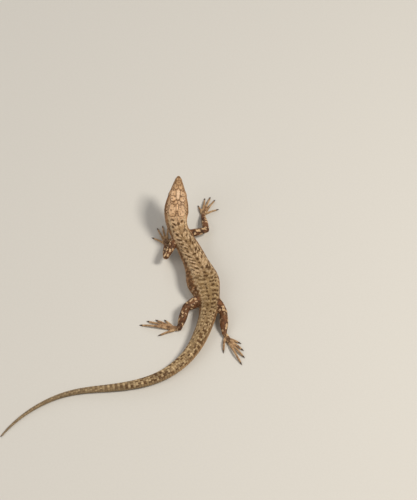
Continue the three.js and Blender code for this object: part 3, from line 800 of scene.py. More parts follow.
def coat_colour(points, normal):
    """The animal's own colour at points on it, the same for skin and scales."""
    s, share, gap, _, _ = body_place(points)
    which, _, limb_gap = bone_place(points)
    toe, foot = (np.array([b.kind == kind for b in bones])[which] for kind in ("toe", "foot"))
    on_limb = smoothstep(-0.35, 0.35, gap - limb_gap)
    return blend(body_colour(points, s, share), limb_colour(points, normal, toe, foot), on_limb)


# Spots on the head, as distance back, distance out and radius.
SPOTS = [
    (13.9, 2.1, 0.42), (15.3, 1.35, 0.32), (12.6, 1.2, 0.28), (15.2, 0.0, 0.42), (11.1, 0.95, 0.3),
    (9.9, 0.2, 0.25), (7.5, 1.9, 0.3), (9.3, 2.15, 0.32), (8.2, 1.35, 0.22), (5.9, 0.45, 0.22),
    (4.5, 0.8, 0.25), (2.9, 0.35, 0.22), (6.9, 0.3, 0.16), (12.9, 2.75, 0.25), (3.1, 1.7, 0.2),
    (10.6, 2.2, 0.22), (8.6, 1.05, 0.4), (10.3, 1.2, 0.4), (16.2, 0.5, 0.4), (6.3, 1.9, 0.25),
]
PILEUS = 1.04  # how much longer the shields of the head's top are than their table


def head_colour(points):
    """Rosy brown above with dark spots, brown at the sides, and cream lips."""
    s, _, _, x, z = body_place(points)
    rough = noise(points, 1.3, 12)
    grain = noise(points, 0.5, 13)
    crown, out = s / PILEUS, np.abs(x)
    # The frontal and the parietals' rims are paler shields. The frontal also carries a painted highlight, and
    # a place beside it over each eye is a painted highlight alone.
    bright = np.exp(-(((crown - 7.7) / 1.6) ** 4) - (x / 0.75) ** 4) * (1 - 0.5 * hump(crown, 8, 0.4))
    bright = np.maximum(bright, 0.8 * hump(crown, 9.6, 0.8) * hump(out, 2.5, 0.6))
    rim = hump(out, ramp(crown, (11, 2.6), (14, 3.25), (16.5, 2.9)), 0.28)
    bright = np.maximum(bright, 0.8 * rim * smoothstep(10.6, 11.6, crown))
    ws, wx = crown + 0.9 * noise(points, 1.0, 14), out + 0.6 * noise(points, 0.9, 15)
    spot = np.max([fade(0.6, 1.3, np.hypot(ws - a, wx - b) / r) for a, b, r in SPOTS], 0)
    veins = fade(0.05, 0.22, np.abs(noise(points, 0.9, 16)) * 2) * smoothstep(9.5, 11.5, s)
    eaves = rise(s) * ramp(s, (0, 0.3), (2, 0.55), (6, 0.72), (10, 0.66), (16, 0.62))
    low_side = fade(eaves - 0.3, eaves + 0.1, z) * ramp(s, (0, 0.3), (3, 0.55), (7, 1))
    lip = z - MOUTH(s)
    cream = fade(0.55, 1.05, lip + 0.6 * rough) * ramp(s, (0, 0.55), (3, 0.75), (6, 0.9), (12, 0.8))
    fleck = smoothstep(0.16, 0.3, noise(points, 0.42, 18)) * (lip < 1.0) * (lip > -1.8)
    return layered(
        SNOUT_TONE,
        (HEAD_TONE, smoothstep(4, 7, s)),
        (HEAD_LIGHT, (0.35 + 1.1 * rough + 0.4 * grain) * ramp(s, (2, 0.3), (7, 1))),
        # paler shields, with painted highlights on the frontal and over each eye
        (HEAD_PALE_AND_SHEEN, 0.75 * bright * (z > 0.5)),
        (HEAD_DARK, 0.72 * spot * (z > 0.8)),
        (HEAD_DARK, 0.4 * veins * (z > 1.2)),
        (blend(SIDE_TONE, FLANK_DARK, 0.25 + 0.9 * grain + 0.9 * rough), 0.85 * low_side),
        (LIP_TONE, cream),
        (THROAT_TONE, fade(-0.9, -0.3, lip)),
        (LIMB_DARK, 0.55 * fleck),
    )


def dimmed(colour, seed, amount=0.16):
    """Each scale's colour made a little lighter or darker at random."""
    r = np.random.default_rng(seed).normal(0, amount, len(colour))
    return np.clip(colour * np.exp(r)[:, None], 0, 1)


# ---------------------------- pieces of mesh


def fan_tris(sides, rings):
    """Triangles through rings of points and from the last ring to one point in the middle."""
    k = np.arange(sides)
    last = (rings - 1) * sides
    fan = np.stack([last + k, last + (k + 1) % sides, 0 * k + rings * sides], -1)
    return np.concatenate([grid_tris(rings, sides), fan])


def tile(sides, radii, heights, squareness=2.0, turn=0.0):
    """A tile's points (along, across, height) from its outer ring in to its middle, and its triangles."""
    a = around(sides, turn)
    c, d = np.cos(a), np.sin(a)
    r = 1 / (np.abs(c) ** squareness + np.abs(d) ** squareness) ** (1 / squareness)
    points = [np.column_stack([c * r * out, d * r * out, 0 * c + h]) for out, h in zip(radii, heights)]
    points.append([[0, 0, heights[-1] * 1.04]])
    return np.concatenate(points), fan_tris(sides, len(radii))


GRANULE = tile(8, (1.0, 0.9, 0.58), (-0.7, 0.5, 0.93), 2.4, 0.5)
SMALL = tile(6, (1.0, 0.88, 0.52), (-0.8, 0.5, 0.95), 2.2)
BEAD = tile(6, (1.0, 0.85, 0.45), (-0.8, 0.45, 0.95), 2.2)
PLATE = tile(14, (1.0, 0.97, 0.86, 0.5), (-0.6, 0.35, 0.9, 1.0), 4.5, 0.5)
KEELED = tile(10, (1.0, 0.95, 0.8, 0.4), (-0.6, 0.4, 0.9, 1.0), 3.2, 0.5)
UV_PATCH = 0.0015


def opened(s, share, first, last, reach=1.0):
    """Places on a bake map of the body opened out, from one distance to another and up to a share."""
    return np.column_stack([0.02 + 0.96 * (s - first) / (last - first), 0.5 + 0.48 * share / reach])


class Coat:
    """Many small solid pieces gathered into one mesh."""

    def __init__(self):
        self.parts, self.count = [], 0

    def append(self, verts, tris, colours, uvs):
        self.parts.append((verts, tris + self.count, colours, uvs))
        self.count += len(verts)

    def add(self, form, place, size, colour, uv, keep=..., follow=False, painted=False, keel=0.0, tilt=0.0):
        """Tiles at the places (at, normal, along) to keep, each with a half length, half width and height.

        A tile that follows the skin bends with it, and a painted one also takes the coat's own colour.
        """
        shape, tris = form
        length, width, thick = (np.broadcast_to(v, len(colour))[keep][:, None] for v in size)
        at, normal, along, colour, uv = (v[keep] for v in (*place, colour, uv))
        n, m = len(at), len(shape)
        if not n:
            return
        u, v, h = shape.T
        h = h + keel * np.maximum(0, 1 - np.abs(v) * 2.2) * (h > 0.5) + tilt * u * (h > 0)
        along = unit(along - normal * (along * normal).sum(1)[:, None])
        side = np.cross(normal, along)
        normal, along, side = (np.repeat(axis, m, 0) for axis in (normal, along, side))
        points = np.repeat(at, m, 0) + along * (u * length).reshape(-1, 1) + side * (v * width).reshape(-1, 1)
        if follow:
            points, normal, _ = nearest_on_skin(points)
        colour = np.repeat(colour, m, 0)
        if painted:
            colour = colour * coat_colour(points, normal)
        points = points + normal * (h * thick).reshape(-1, 1)
        points[:, 2] = np.maximum(points[:, 2], np.tile(0.004 + 0.02 * (shape[:, 2] < 0.5), n))
        uvs = (uv[:, None] + shape[:, :2] * UV_PATCH).reshape(-1, 2)
        self.append(points, (tris + np.arange(n)[:, None, None] * m).reshape(-1, 3), colour, uvs)

    def arrays(self):
        return [np.concatenate(part) for part in zip(*self.parts)]


def sites(s, share):
    """Body coordinates, their places (at, normal, back) on the skin, and which lie on the body itself."""
    s, share = (v.ravel() for v in np.broadcast_arrays(s, share))
    guess = body_point(s, girth_angle(s, share), -COAT)
    guess[:, 2] = np.maximum(guess[:, 2], SINK)
    at, normal, off = nearest_on_skin(guess)
    keep = (off < 0.6) & (body_place(at)[2] <= bone_place(at)[2] + 0.02)
    return s, share, (at, normal, spine_axes(s)[3]), keep


# ---------------------------- the head's shields

SHIELD_HIGH, SUTURE, SHIELD_STEP = 0.09, 0.035, 0.22
OUTSIDE, OFF_HEAD = 12, 6  # distances that are clear of the body and of the head


def view(side=0, over=1, stretch=1.0):
    """A way to lay flat places (distance back, and across or up) on the skin, from a side, over or under."""

    def lay(flat):
        at, across, up, _ = spine_axes(flat[:, 0] * stretch)
        outward, other = (across * side, up) if side else (up * over, across)
        return cast_on_skin(at + outward * OUTSIDE + other * flat[:, 1:], -outward)

    return lay


from_above, from_below = view(stretch=PILEUS), view(over=-1)
sides_of_head = {RIGHT: view(side=RIGHT), LEFT: view(side=LEFT)}


def from_ahead(flat):
    at, across, up, back = spine_axes(np.zeros(len(flat)))
    return cast_on_skin(at - back * OFF_HEAD + across * flat[:, :1] + up * flat[:, 1:], back)


def rounded(corners, softness, step=0.1):
    """A closed outline with its sides divided and its corners eased."""
    parts = []
    for a, b in zip(corners, np.roll(corners, -1, 0)):
        count = max(1, int(np.ceil(np.linalg.norm(b - a) / step)))
        parts.append(a + (b - a) * np.arange(count)[:, None] / count)
    p = np.concatenate(parts)
    for _ in range(softness):
        p = (np.roll(p, 1, 0) + 2 * p + np.roll(p, -1, 0)) / 4
    return p


def inset(p, depth):
    run = np.roll(p, -1, 0) - np.roll(p, 1, 0)
    area = (p[:, 0] * np.roll(p[:, 1], -1) - np.roll(p[:, 0], -1) * p[:, 1]).sum()
    return p + unit(np.column_stack([-run[:, 1], run[:, 0]])) * np.sign(area) * depth


def shield_map(points):
    s, share = body_place(points)[:2]
    return opened(s, share, -0.39, 18.39)


shields = Coat()


def shield(corners, lay, softness=2):
    """One shield from its flat corners, laid on the skin: a bevelled rim and a slightly domed middle."""
    outline = inset(rounded(np.array(corners, float), softness), SUTURE)
    rings, edge = [outline, inset(outline, 0.03), inset(outline, 0.09)], [1, 0.9, 0.35]
    heights = [-0.05, 0.55 * SHIELD_HIGH, 0.95 * SHIELD_HIGH]
    rim = rings[-1]
    centre = rim.mean(0)
    steps = max(2, int(np.ceil(np.linalg.norm(rim - centre, axis=1).max() / SHIELD_STEP)))
    for k in range(steps - 1, -1, -1):
        rings.append(centre + (rim - centre) * k / steps)
        heights.append(SHIELD_HIGH * (1 + 0.3 * (1 - (k / steps) ** 2)))
        edge.append(0)
    counts = [len(outline)] * (len(rings) - 1) + [1]
    at, normal = lay(np.concatenate([ring[:count] for ring, count in zip(rings, counts)]))
    points = at + normal * np.repeat(heights, counts)[:, None]
    tris = fan_tris(len(outline), len(rings) - 1)
    # The tiles' turn follows the outline's own turn, so that every shield faces out.
    a, b, c = (points[tris[:, k]] for k in range(3))
    facing = np.cross(b - a, c - a).sum(0) @ normal.sum(0)
    tone = np.exp(np.random.default_rng(len(shields.parts) + 1).normal(0, 0.07))
    colour = head_colour(at) * (1 - 0.5 * np.repeat(edge, counts))[:, None] * tone
    shields.append(points, tris if facing > 0 else tris[:, ::-1], colour, shield_map(at))


def mirrored(half):
    """A shield across the middle, from the corners of its one side."""
    return half + [(s, -x) for s, x in reversed(half) if x > 0]


# The shields on the head's top, those across the middle first, by distance back and distance out.
MIDDLE_TOP = [
    [(2.12, 0.0), (2.2, 0.62), (2.95, 1.15), (3.72, 0.86), (4.0, 0.0)],
    [(5.2, 0.0), (5.62, 0.72), (6.3, 0.84), (8.0, 0.7), (9.55, 0.64), (9.95, 0.4), (10.15, 0.0)],
    [(11.15, 0.0), (11.75, 0.54), (13.9, 0.28), (14.2, 0.0)],
    [(14.22, 0.0), (14.3, 0.26), (15.2, 0.46), (16.0, 0.6), (16.1, 0.0)],
]
PAIRED_TOP = [
    [(0.8, 0.0), (0.85, 0.55), (1.2, 0.95), (1.85, 0.98), (2.2, 0.58), (2.1, 0.0)],
    [(4.02, 0.0), (3.75, 0.86), (3.05, 1.2), (3.6, 1.6), (5.0, 1.75), (5.75, 1.2), (5.6, 0.74), (5.18, 0.0)],
    [(5.15, 1.75), (5.85, 1.15), (6.05, 0.95), (6.05, 1.6), (5.75, 2.05)],
    [(6.12, 0.9), (8.25, 0.76), (8.3, 2.8), (7.2, 2.7), (6.35, 2.3), (6.08, 1.7)],
    [(8.32, 0.74), (9.6, 0.7), (9.98, 0.85), (10.4, 1.55), (10.25, 2.5), (9.4, 2.85), (8.35, 2.85)],
    [(10.35, 2.52), (10.48, 1.62), (11.35, 1.78), (11.4, 2.25), (10.95, 2.65)],
    [(10.18, 0.0), (9.98, 0.45), (9.72, 0.68), (10.05, 0.85), (10.5, 1.55), (11.3, 1.7), (11.75, 1.2),
     (11.72, 0.56), (11.12, 0.0)],
    [(11.78, 0.6), (11.85, 1.25), (11.42, 1.8), (11.45, 2.35), (12.2, 2.95), (14.0, 3.3), (15.6, 3.05),
     (16.3, 2.2), (16.25, 0.75), (15.2, 0.52), (14.25, 0.34), (13.9, 0.34)],
]
# Those on its sides, by distance back and height over the spine, and those under it, by distance out again.
SIDE_SHIELDS = [
    [(2.45, 0.4), (2.5, 1.25), (3.7, 1.5), (3.8, 0.36)],
    [(3.87, 0.34), (3.8, 1.52), (5.0, 1.85), (5.75, 1.75), (5.75, 0.2)],
    [(5.82, 0.16), (5.82, 1.75), (6.25, 1.7), (6.45, 1.05), (6.4, 0.2), (6.3, 0.06)],
    [(1.05, 0.75), (1.2, 1.05), (2.35, 1.2), (2.38, 0.72), (1.9, 0.78), (1.6, 0.86)],
    [(12.2, -0.05), (11.6, -0.35), (11.7, -0.85), (12.4, -0.95), (12.9, -0.6), (12.8, -0.15)],
    [(13.3, 0.72), (13.5, 0.45), (14.3, 0.5), (14.9, 0.75), (14.6, 0.95), (13.8, 0.95)],
]
UNDER_PAIRS = [
    [(1.35, 0.03), (1.35, 0.85), (2.2, 1.12), (2.8, 1.0), (2.95, 0.03)],
    [(3.0, 0.03), (2.88, 1.0), (2.6, 1.25), (3.9, 1.7), (4.6, 1.3), (4.75, 0.03)],
    [(4.8, 0.03), (4.68, 1.3), (4.3, 1.7), (5.6, 2.15), (6.6, 1.7), (6.9, 0.9), (6.7, 0.03)],
    [(6.95, 1.0), (6.7, 1.7), (6.0, 2.2), (7.6, 2.6), (8.6, 2.2), (8.7, 1.5)],
    [(8.75, 1.7), (8.7, 2.25), (8.1, 2.65), (9.7, 3.0), (10.3, 2.5), (10.0, 1.95)],
]
# The lip shields' upper and lower bounds, and where each starts and ends.
LIP_LINE = profile([
    (0.6, 0.3), (2.5, 0.32), (4, 0.24), (6.2, 0.0), (6.7, -0.2), (9.2, -0.28), (10.5, -0.5), (12, -0.9),
])
CHIN_LINE = profile([(0.6, -1.0), (2.5, -1.15), (6, -1.5), (9, -1.95), (11, -2.35)])
UPPER_LIP = (0.75, 2.14), (2.2, 3.49), (3.55, 4.89), (4.95, 6.39), (6.45, 9.29), (9.35, 10.64), (10.7, 11.7)
LOWER_LIP = (0.75, 2.24), (2.3, 3.84), (3.9, 5.54), (5.6, 7.24), (7.3, 8.94), (9.0, 10.6)
LIP_GAP = 0.07
TEMPLE = (11.9, 13.1, 2.05), (13.15, 14.4, 1.95), (14.45, 15.6, 1.85)
CHIN = [(0.25, 0.6), (0.6, 0.75), (1.3, 0.8)]
ROSTRAL = [(0.0, -0.27), (0.72, -0.2), (0.85, 0.12), (0.5, 0.5), (0.0, 0.62)]

for half in MIDDLE_TOP:
    shield(mirrored(half), from_above)
for side in (RIGHT, LEFT):
    for corners in PAIRED_TOP:
        shield([(a, b * side) for a, b in corners], from_above)
for side, lay in sides_of_head.items():
    for corners in SIDE_SHIELDS:
        shield(corners, lay)
    for spans, line, gap in ((UPPER_LIP, LIP_LINE, LIP_GAP), (LOWER_LIP, CHIN_LINE, -LIP_GAP)):
        for a, b in spans:
            forth, back = np.linspace(a, b, 5), np.linspace(b, a, 5)
            lip, far = np.column_stack([forth, MOUTH(forth) + gap]), np.column_stack([back, line(back)])
            shield(np.vstack([lip, far]), lay, softness=1)
    for a, b, high in TEMPLE:
        shield([(a, high - 0.3), (a + 0.15, high + 0.25), (b - 0.15, high + 0.2), (b, high - 0.35)], lay)
    for corners in UNDER_PAIRS:
        shield([(a, b * side) for a, b in corners], from_below)
shield(mirrored(CHIN), from_below)
shield(ROSTRAL + [(-x, z) for x, z in reversed(ROSTRAL) if x > 0], from_ahead)

# Each nostril is a raised ring round a pit, whose steps are given as radius and height. The pit is painted
# nearly black, as painted shade inside the opening.
NOSTRIL = (1.62, 0.5)
RING, RING_THICK, OVAL = 0.21, 0.085, 0.85
PIT = (0.02, 0.045), (0.12, 0.05), (0.19, 0.02), (0.19, -0.1), (0.02, -0.12)


def oval(normal, count):
    across = unit(np.cross(normal, [0, 0, 1.0]))
    a = around(count)[:, None]
    return across * np.cos(a) + np.cross(across, normal) * np.sin(a) * OVAL


pits = []
for side in (LEFT, RIGHT):
    at, normal = (v[0] for v in sides_of_head[side](np.array([NOSTRIL])))
    b = around(8)[:, None]
    verts = oval(normal, 20)[:, None] * (RING + RING_THICK * np.cos(b)) + normal * (RING_THICK * np.sin(b))
    verts = verts.reshape(-1, 3)
    tris = outward_faces(verts, grid_tris(20, 8, wrap=True))
    verts = verts + at + normal * 0.03
    shields.append(verts, tris, head_colour(verts) * 0.9, shield_map(verts))
    pits.append(np.array([at + oval(normal, 16) * r + normal * h for r, h in PIT]))
mesh_object("nostril_pits", *join_lofts(pits))
mesh_object("head_shields", *shields.arrays())
shield_tree = BVHTree.FromPolygons(*(v.tolist() for v in shields.arrays()[:2]))

# ---------------------------- eyes and lids

EYEBALL, CORNEA = 1.3, 0.035
PUPIL, IRIS = 0.46, 1.0


def eye_object(word, e):
    """An eyeball whose cornea bulges over a brown iris and a round dark pupil."""
    rings = np.concatenate([[0.03], np.linspace(0.1, 1.15, 22), np.linspace(1.3, 3.0, 12)])
    polar, turn = (v.ravel() for v in np.meshgrid(rings, around(64), indexing="ij"))
    local = np.column_stack([np.sin(polar) * np.cos(turn), np.sin(polar) * np.sin(turn), np.cos(polar)])
    axes = np.stack([e["length"], e["upright"], e["look"]])
    points = local * (EYEBALL + CORNEA * hump(polar, 0, 0.5))[:, None] @ axes + e["centre"]
    verts, tris = join_lofts([points.reshape(len(rings), -1, 3)])
    r = np.sin(polar) * EYEBALL
    streak = noise(np.column_stack([np.cos(turn) * 2.2, np.sin(turn) * 2.2, r * 0.4]), 0.35, 3)
    iris = blend(IRIS_DARK, IRIS_LIGHT, 0.35 * np.sin(turn) + 0.2 + 0.7 * streak)
    iris = blend(iris, IRIS_RIM, 0.9 * hump(r, PUPIL + 0.06, 0.045))
    dark = np.maximum(fade(PUPIL - 0.02, PUPIL + 0.03, r), smoothstep(IRIS - 0.1, IRIS + 0.02, r))
    colour = blend(iris, PUPIL_TONE, np.maximum(dark, polar > 1.2))
    mesh_object(f"eyeball_{word}", verts, tris, np.vstack([colour, PUPIL_TONE, PUPIL_TONE]))


LID_ROUND = 72
FISSURE = (1.02, 0.74)
# The lids' rings from the slit out and back underneath: size, how far on the skin, height, and dark rim.
LID_RINGS = [
    (0.9, 0, -0.12, 1), (0.95, 0, 0.03, 1), (0.99, 0, 0.1, 0.6), (1.06, 0, 0.15, 0.1), (1.16, 0.25, 0.13, 0),
    (1.28, 0.6, 0.1, 0), (1.42, 1, 0.04, 0), (1.52, 1, -0.06, 0), (1.4, 1, -0.35, 0), (1.1, 0, -0.25, 0),
]


def lid_point(e, theta, k, mix, lift):
    """Points of the lids, k times the slit's size: on the eyeball (mix 0), on the skin (mix 1) or between."""
    flat = np.column_stack([np.cos(theta), np.sin(theta)]) * FISSURE * k
    flat = flat @ np.stack([e["length"], e["upright"]])
    radius = EYEBALL + lift * (1 - mix)
    ahead = np.sqrt(np.maximum(radius**2 - (flat**2).sum(1), 0.16))
    near = e["centre"] + flat + e["look"] * ahead[:, None]
    if mix == 0:
        return near
    at, normal = cast_on_skin(e["centre"] + flat + e["look"] * OFF_HEAD, np.tile(-e["look"], (len(theta), 1)))
    return near * (1 - mix) + (at + normal * lift) * mix


for word, e in eyes.items():
    eye_object(word, e)
    theta = around(LID_ROUND)
    verts = np.concatenate([lid_point(e, theta, k, mix, lift) for k, mix, lift, _ in LID_RINGS])
    rim = np.repeat([ring[3] for ring in LID_RINGS], LID_ROUND)
    tris = outward_faces(verts - e["centre"], grid_tris(len(LID_RINGS), LID_ROUND, wrap=True))
    mesh_object(f"lids_{word}", verts, tris, blend(head_colour(verts) * 0.75, LID_RIM, rim))

# ---------------------------- scales

BACK_START, BACK_END = 17.4, 60.6
BELLY_START, BELLY_END, PLATE_PITCH = 23.6, 57.2, 1.28
COLLAR, VENT_PLATE, VENT_PITCH, TAIL_SCALES = 22.6, 58.35, 0.42, 61.0
THROAT_COLUMNS, THROAT_SPAN = 22, 0.62  # the throat's scales in a row, and the range of shares they cover
COLUMNS, LOW = 57, 0.71  # the back's scales in a row, and the share where they end over the belly


def staggered(count, row, start=0.0, reach=2.0):
    """Shares round the body for a row of scales, every second row shifted by half a scale."""
    return wrapped(start + (np.arange(count) + 0.5 * (row % 2)) / count * reach)


def own_colour(place, seed, amount=0.16):
    return dimmed(coat_colour(*place[:2]), seed, amount)


def head_map(points):
    s, share = body_place(points)[:2]
    return opened(s, share, 0, 18.38)


head_coat = Coat()


def beads(at, normal, ahead, size, high, seed):
    """Small scales in a ring on the head."""
    colour = dimmed(head_colour(at), seed, 0.1)
    head_coat.add(BEAD, (at, normal, ahead), (size * 1.05, size, size * high), colour, head_map(at))


for e in eyes.values():
    for k, mix, size, count in ((1.05, 0, 0.085, 46), (1.2, 0.35, 0.1, 44), (1.37, 0.85, 0.115, 42)):
        theta = around(count, 0.5 * (k > 1.1))
        at = lid_point(e, theta, k, mix, 0.12)
        ahead = lid_point(e, theta + 0.05, k, mix, 0.12) - at
        beads(at, unit(at - e["centre"] - e["look"] * 0.1), ahead, size, 0.5, 500 + int(k * 100))

# Granules fill what the shields leave free on the head's top, temples and throat.
GRANULE_SIZE = 0.34
for row, here in enumerate(np.arange(1.0, BACK_START, GRANULE_SIZE)):
    count = max(8, int(round(2 * float(half_girth(here)) / GRANULE_SIZE)))
    _, _, place, keep = sites(here, staggered(count, row))
    at = place[0]
    s, _, _, x, z = body_place(at)
    keep &= np.array([shield_tree.find_nearest(p)[3] for p in at.tolist()]) > 0.15
    wide, tall = EAR["wide"] + 0.13, EAR["tall"] + 0.13
    keep &= np.hypot((s - EAR["station"]) / wide, (z - EAR["up"]) / tall) > 1
    keep &= np.abs(z - MOUTH(s)) > np.where(s < 11.8, 0.16, 0.0)
    for e in eyes.values():
        rel = at - e["centre"]
        slit = np.hypot((rel @ e["length"]) / FISSURE[0], (rel @ e["upright"]) / FISSURE[1])
        keep &= (slit > 1.47) | (rel @ e["look"] < 0)
    colour = dimmed(head_colour(at), 700 + row, 0.12)
    colour = blend(colour, coat_colour(*place[:2]), smoothstep(14.5, 17, s))
    half = GRANULE_SIZE / 2
    head_coat.add(SMALL, place, (half * 1.05, half, 0.06), colour, head_map(at), keep, tilt=0.15)

# Small scales stand round the rim of each ear.
for side in (RIGHT, LEFT):
    theta = around(20)
    ring = np.column_stack([(EAR["wide"] + 0.02) * np.cos(theta), (EAR["tall"] + 0.02) * np.sin(theta)])
    at, normal = sides_of_head[side](ring + [EAR["station"], EAR["up"]])
    beads(at, normal, np.roll(at, -1, 0) - np.roll(at, 1, 0), 0.12, 0.6, 900)
mesh_object("head_scales", *head_coat.arrays())

# Granular scales of the back and flanks, in rows across the body.
places = [BACK_START]
while places[-1] < BACK_END:
    places.append(places[-1] + 2 * LOW * float(half_girth(places[-1])) / COLUMNS * 1.04)
places = np.array(places)[:, None]
odd = np.arange(len(places))[:, None] % 2
s, share, place, keep = sites(places, LOW * ((np.arange(COLUMNS) + 0.25) / COLUMNS * 2 - 1 + odd / COLUMNS))
width = half_girth(s) * LOW / COLUMNS
colour, uv = own_colour(place, 1), opened(s, share, 15, 62, LOW)
for name, low, high in (("back_scales_front", 0, 40), ("back_scales_rear", 40, 99)):
    coat, here = Coat(), keep & (s >= low) & (s < high)
    coat.add(GRANULE, place, (width * 1.05, width * 0.98, 0.085), colour, uv, here, tilt=0.18)
    mesh_object(name, *coat.arrays())


def belly_map(s, share):
    """Places on the belly's bake map, opened out from the line along its middle."""
    return opened(s, np.where(share < 0, share + 1, share - 1), 17, 62, 0.48 / 1.4)


# Belly plates in six rows, each overlapping the next one back, and the broad plate before the vent.
coat = Coat()
plate_rows = np.arange(BELLY_START, BELLY_END, PLATE_PITCH)
plate_shares = np.array([-0.75, -0.85, -0.95, 0.95, 0.85, 0.75])
s, share, place, keep = sites(
    np.append(np.repeat(plate_rows, 6), VENT_PLATE), np.append(np.tile(plate_shares, len(plate_rows)), 1.0)
)
vent = s > BELLY_END
size = np.where(vent, 0.78, 0.64), np.where(vent, 1.35, half_girth(s) * 0.049), 0.075
bright = np.exp(np.random.default_rng(2).normal(0, 0.06, (len(s), 1))) * np.ones(3)
coat.add(PLATE, place, size, bright, belly_map(s, share), keep, follow=True, painted=True, tilt=0.3)
# Small scales lie round the plate before the vent.
for row, here in enumerate(np.arange(57.5, 60.9, VENT_PITCH)):
    count = int(0.62 * float(half_girth(here)) / VENT_PITCH)
    s, share, place, keep = sites(here, staggered(count, row, 0.7, 0.6))
    keep &= np.hypot((s - VENT_PLATE) / 0.95, (1 - np.abs(share)) * half_girth(s) / 1.5) > 1
    colour = own_colour(place, 40 + row, 0.08)
    coat.add(SMALL, place, (0.23, 0.23, 0.069), colour, belly_map(s, share), keep, tilt=0.2)
# Throat scales reach from behind the chin to the collar, whose own scales are larger.
throat_rows = np.arange(17.5, 22.2, 0.44)[:, None]
odd = np.arange(len(throat_rows))[:, None] % 2
columns = (np.arange(THROAT_COLUMNS) + 0.5) / THROAT_COLUMNS
s, share, place, keep = sites(throat_rows, wrapped(columns * THROAT_SPAN + 0.69 + odd * 0.014))
width = half_girth(s) * THROAT_SPAN / THROAT_COLUMNS / 2
colour = own_colour(place, 3, 0.08)
coat.add(SMALL, place, (width * 1.15, width * 0.98, 0.06), colour, belly_map(s, share), keep, tilt=0.2)
collar = np.concatenate([np.linspace(0.66, 0.97, 6), -np.linspace(0.97, 0.66, 6)])
s, share, place, keep = sites(COLLAR, collar)
colour = own_colour(place, 4, 0.05)
coat.add(PLATE, place, (0.72, 0.5, 0.11), colour, belly_map(s, share), keep, follow=True, tilt=0.4)
mesh_object("belly_scales", *coat.arrays())

# Whorls of keeled scales round the tail.
coat, here, whorl = Coat(), TAIL_SCALES, 0
while here < TOTAL - 0.8:
    girth = 2 * float(half_girth(here))
    pitch = float(ramp(here, (60, 0.42), (72, 1.0), (110, 0.95), (TOTAL, 0.75)))
    count = max(6, int(round(girth / float(ramp(here, (60, 0.32), (74, 0.68), (120, 0.62))))))
    s, share, place, keep = sites(here, staggered(count, whorl))
    size = pitch * 0.56, girth / count / 2 * 0.97, min(0.08, 0.03 + 0.02 * girth)
    colour, uv = own_colour(place, 100 + whorl, 0.1), opened(s, share, 58, 164)
    coat.add(KEELED, place, size, colour, uv, keep, follow=True, keel=0.55, tilt=0.45)
    here, whorl = here + pitch, whorl + 1
mesh_object("tail_scales", *coat.arrays())

# Limb scales, in rings round each bone and a little beyond it at the joints.
LIMB_SCALE, TOE_SCALE = 0.44, 0.36
coats = {"front": Coat(), "hind": Coat()}
for number, bone in enumerate(bones):
    toe = bone.kind == "toe"
    pitch = TOE_SCALE if bone.kind in ("foot", "toe") else LIMB_SCALE
    start = -0.12 if bone.kind in ("lower", "foot") else 0.0
    end = 1.12 if bone.kind in ("upper", "lower") else 1.0
    steps = max(3, int(round(bone.length / pitch)))
    for ring, t in enumerate(np.linspace(start, end, int(steps * (end - start)) + 1)):
        radius = float((bone.across(t) + bone.upward(t)) / 2)
        count = max(6, int(round(2 * np.pi * radius / pitch)))
        angle = around(count, 0.5 * (ring % 2))
        within = np.full(count, np.clip(t, 0, 1))
        forward = bone.axes(within)[3]
        guess = bone.point(within, angle, -COAT) + forward * (t - within[:, None]) * bone.length
        at, normal, off = nearest_on_skin(guess)
        which, _, limb_gap = bone_place(at)
        keep = (off < 0.5) & (which == number) & (limb_gap < body_place(at)[2] + 0.02)
        if not keep.any():
            continue
        place, width = (at, normal, forward), np.pi * radius / count
        size = (pitch * 0.56, width * 1.05, 0.05) if toe else (pitch * 0.5, width * 0.98, 0.07)
        colour = own_colour(place, 1000 + number * 60 + ring, 0.12)
        patch = np.column_stack([0 * angle + (t + 0.15) / 1.3, angle / (2 * np.pi)])
        uv = (np.array([number % PER_LIMB, bone.limb]) + 0.08 + 0.84 * patch) / [PER_LIMB, len(LIMBS)]
        coats[LIMBS[bone.limb]["kind"]["word"]].add(SMALL, place, size, colour, uv, keep, tilt=0.3)
for word, coat in coats.items():
    mesh_object(f"{word}_limb_scales", *coat.arrays())

# ---------------------------- skin, claws and eardrums

# The skin shows in the creases between scales, so it is the coat's colour darkened as painted shade in the
# creases. On the head it shows as the sutures between shields, which are darker still.
skin_tris = np.concatenate([skin_quads[:, [0, 1, 2]], skin_quads[:, [0, 2, 3]]])
skin_tris = skin_tris[(skin_tris[:, 0] != skin_tris[:, 2]) & (skin_tris[:, 1] != skin_tris[:, 2])]
on_head = ((skin_s < 17) & (body_gap < 1))[:, None]
crease = np.where(on_head, [0.3, 0.24, 0.18], [0.48, 0.45, 0.42])


def unwrapped(turns):
    """Turns at a triangle's corners, as -1 to 1, with those across the seam brought beside the others."""
    return np.where((np.ptp(turns, axis=1) > 1)[:, None] & (turns < 0), turns + 2, turns)


LIMB_STRIPS = 18  # strips of the limbs' height that would fill the bake map


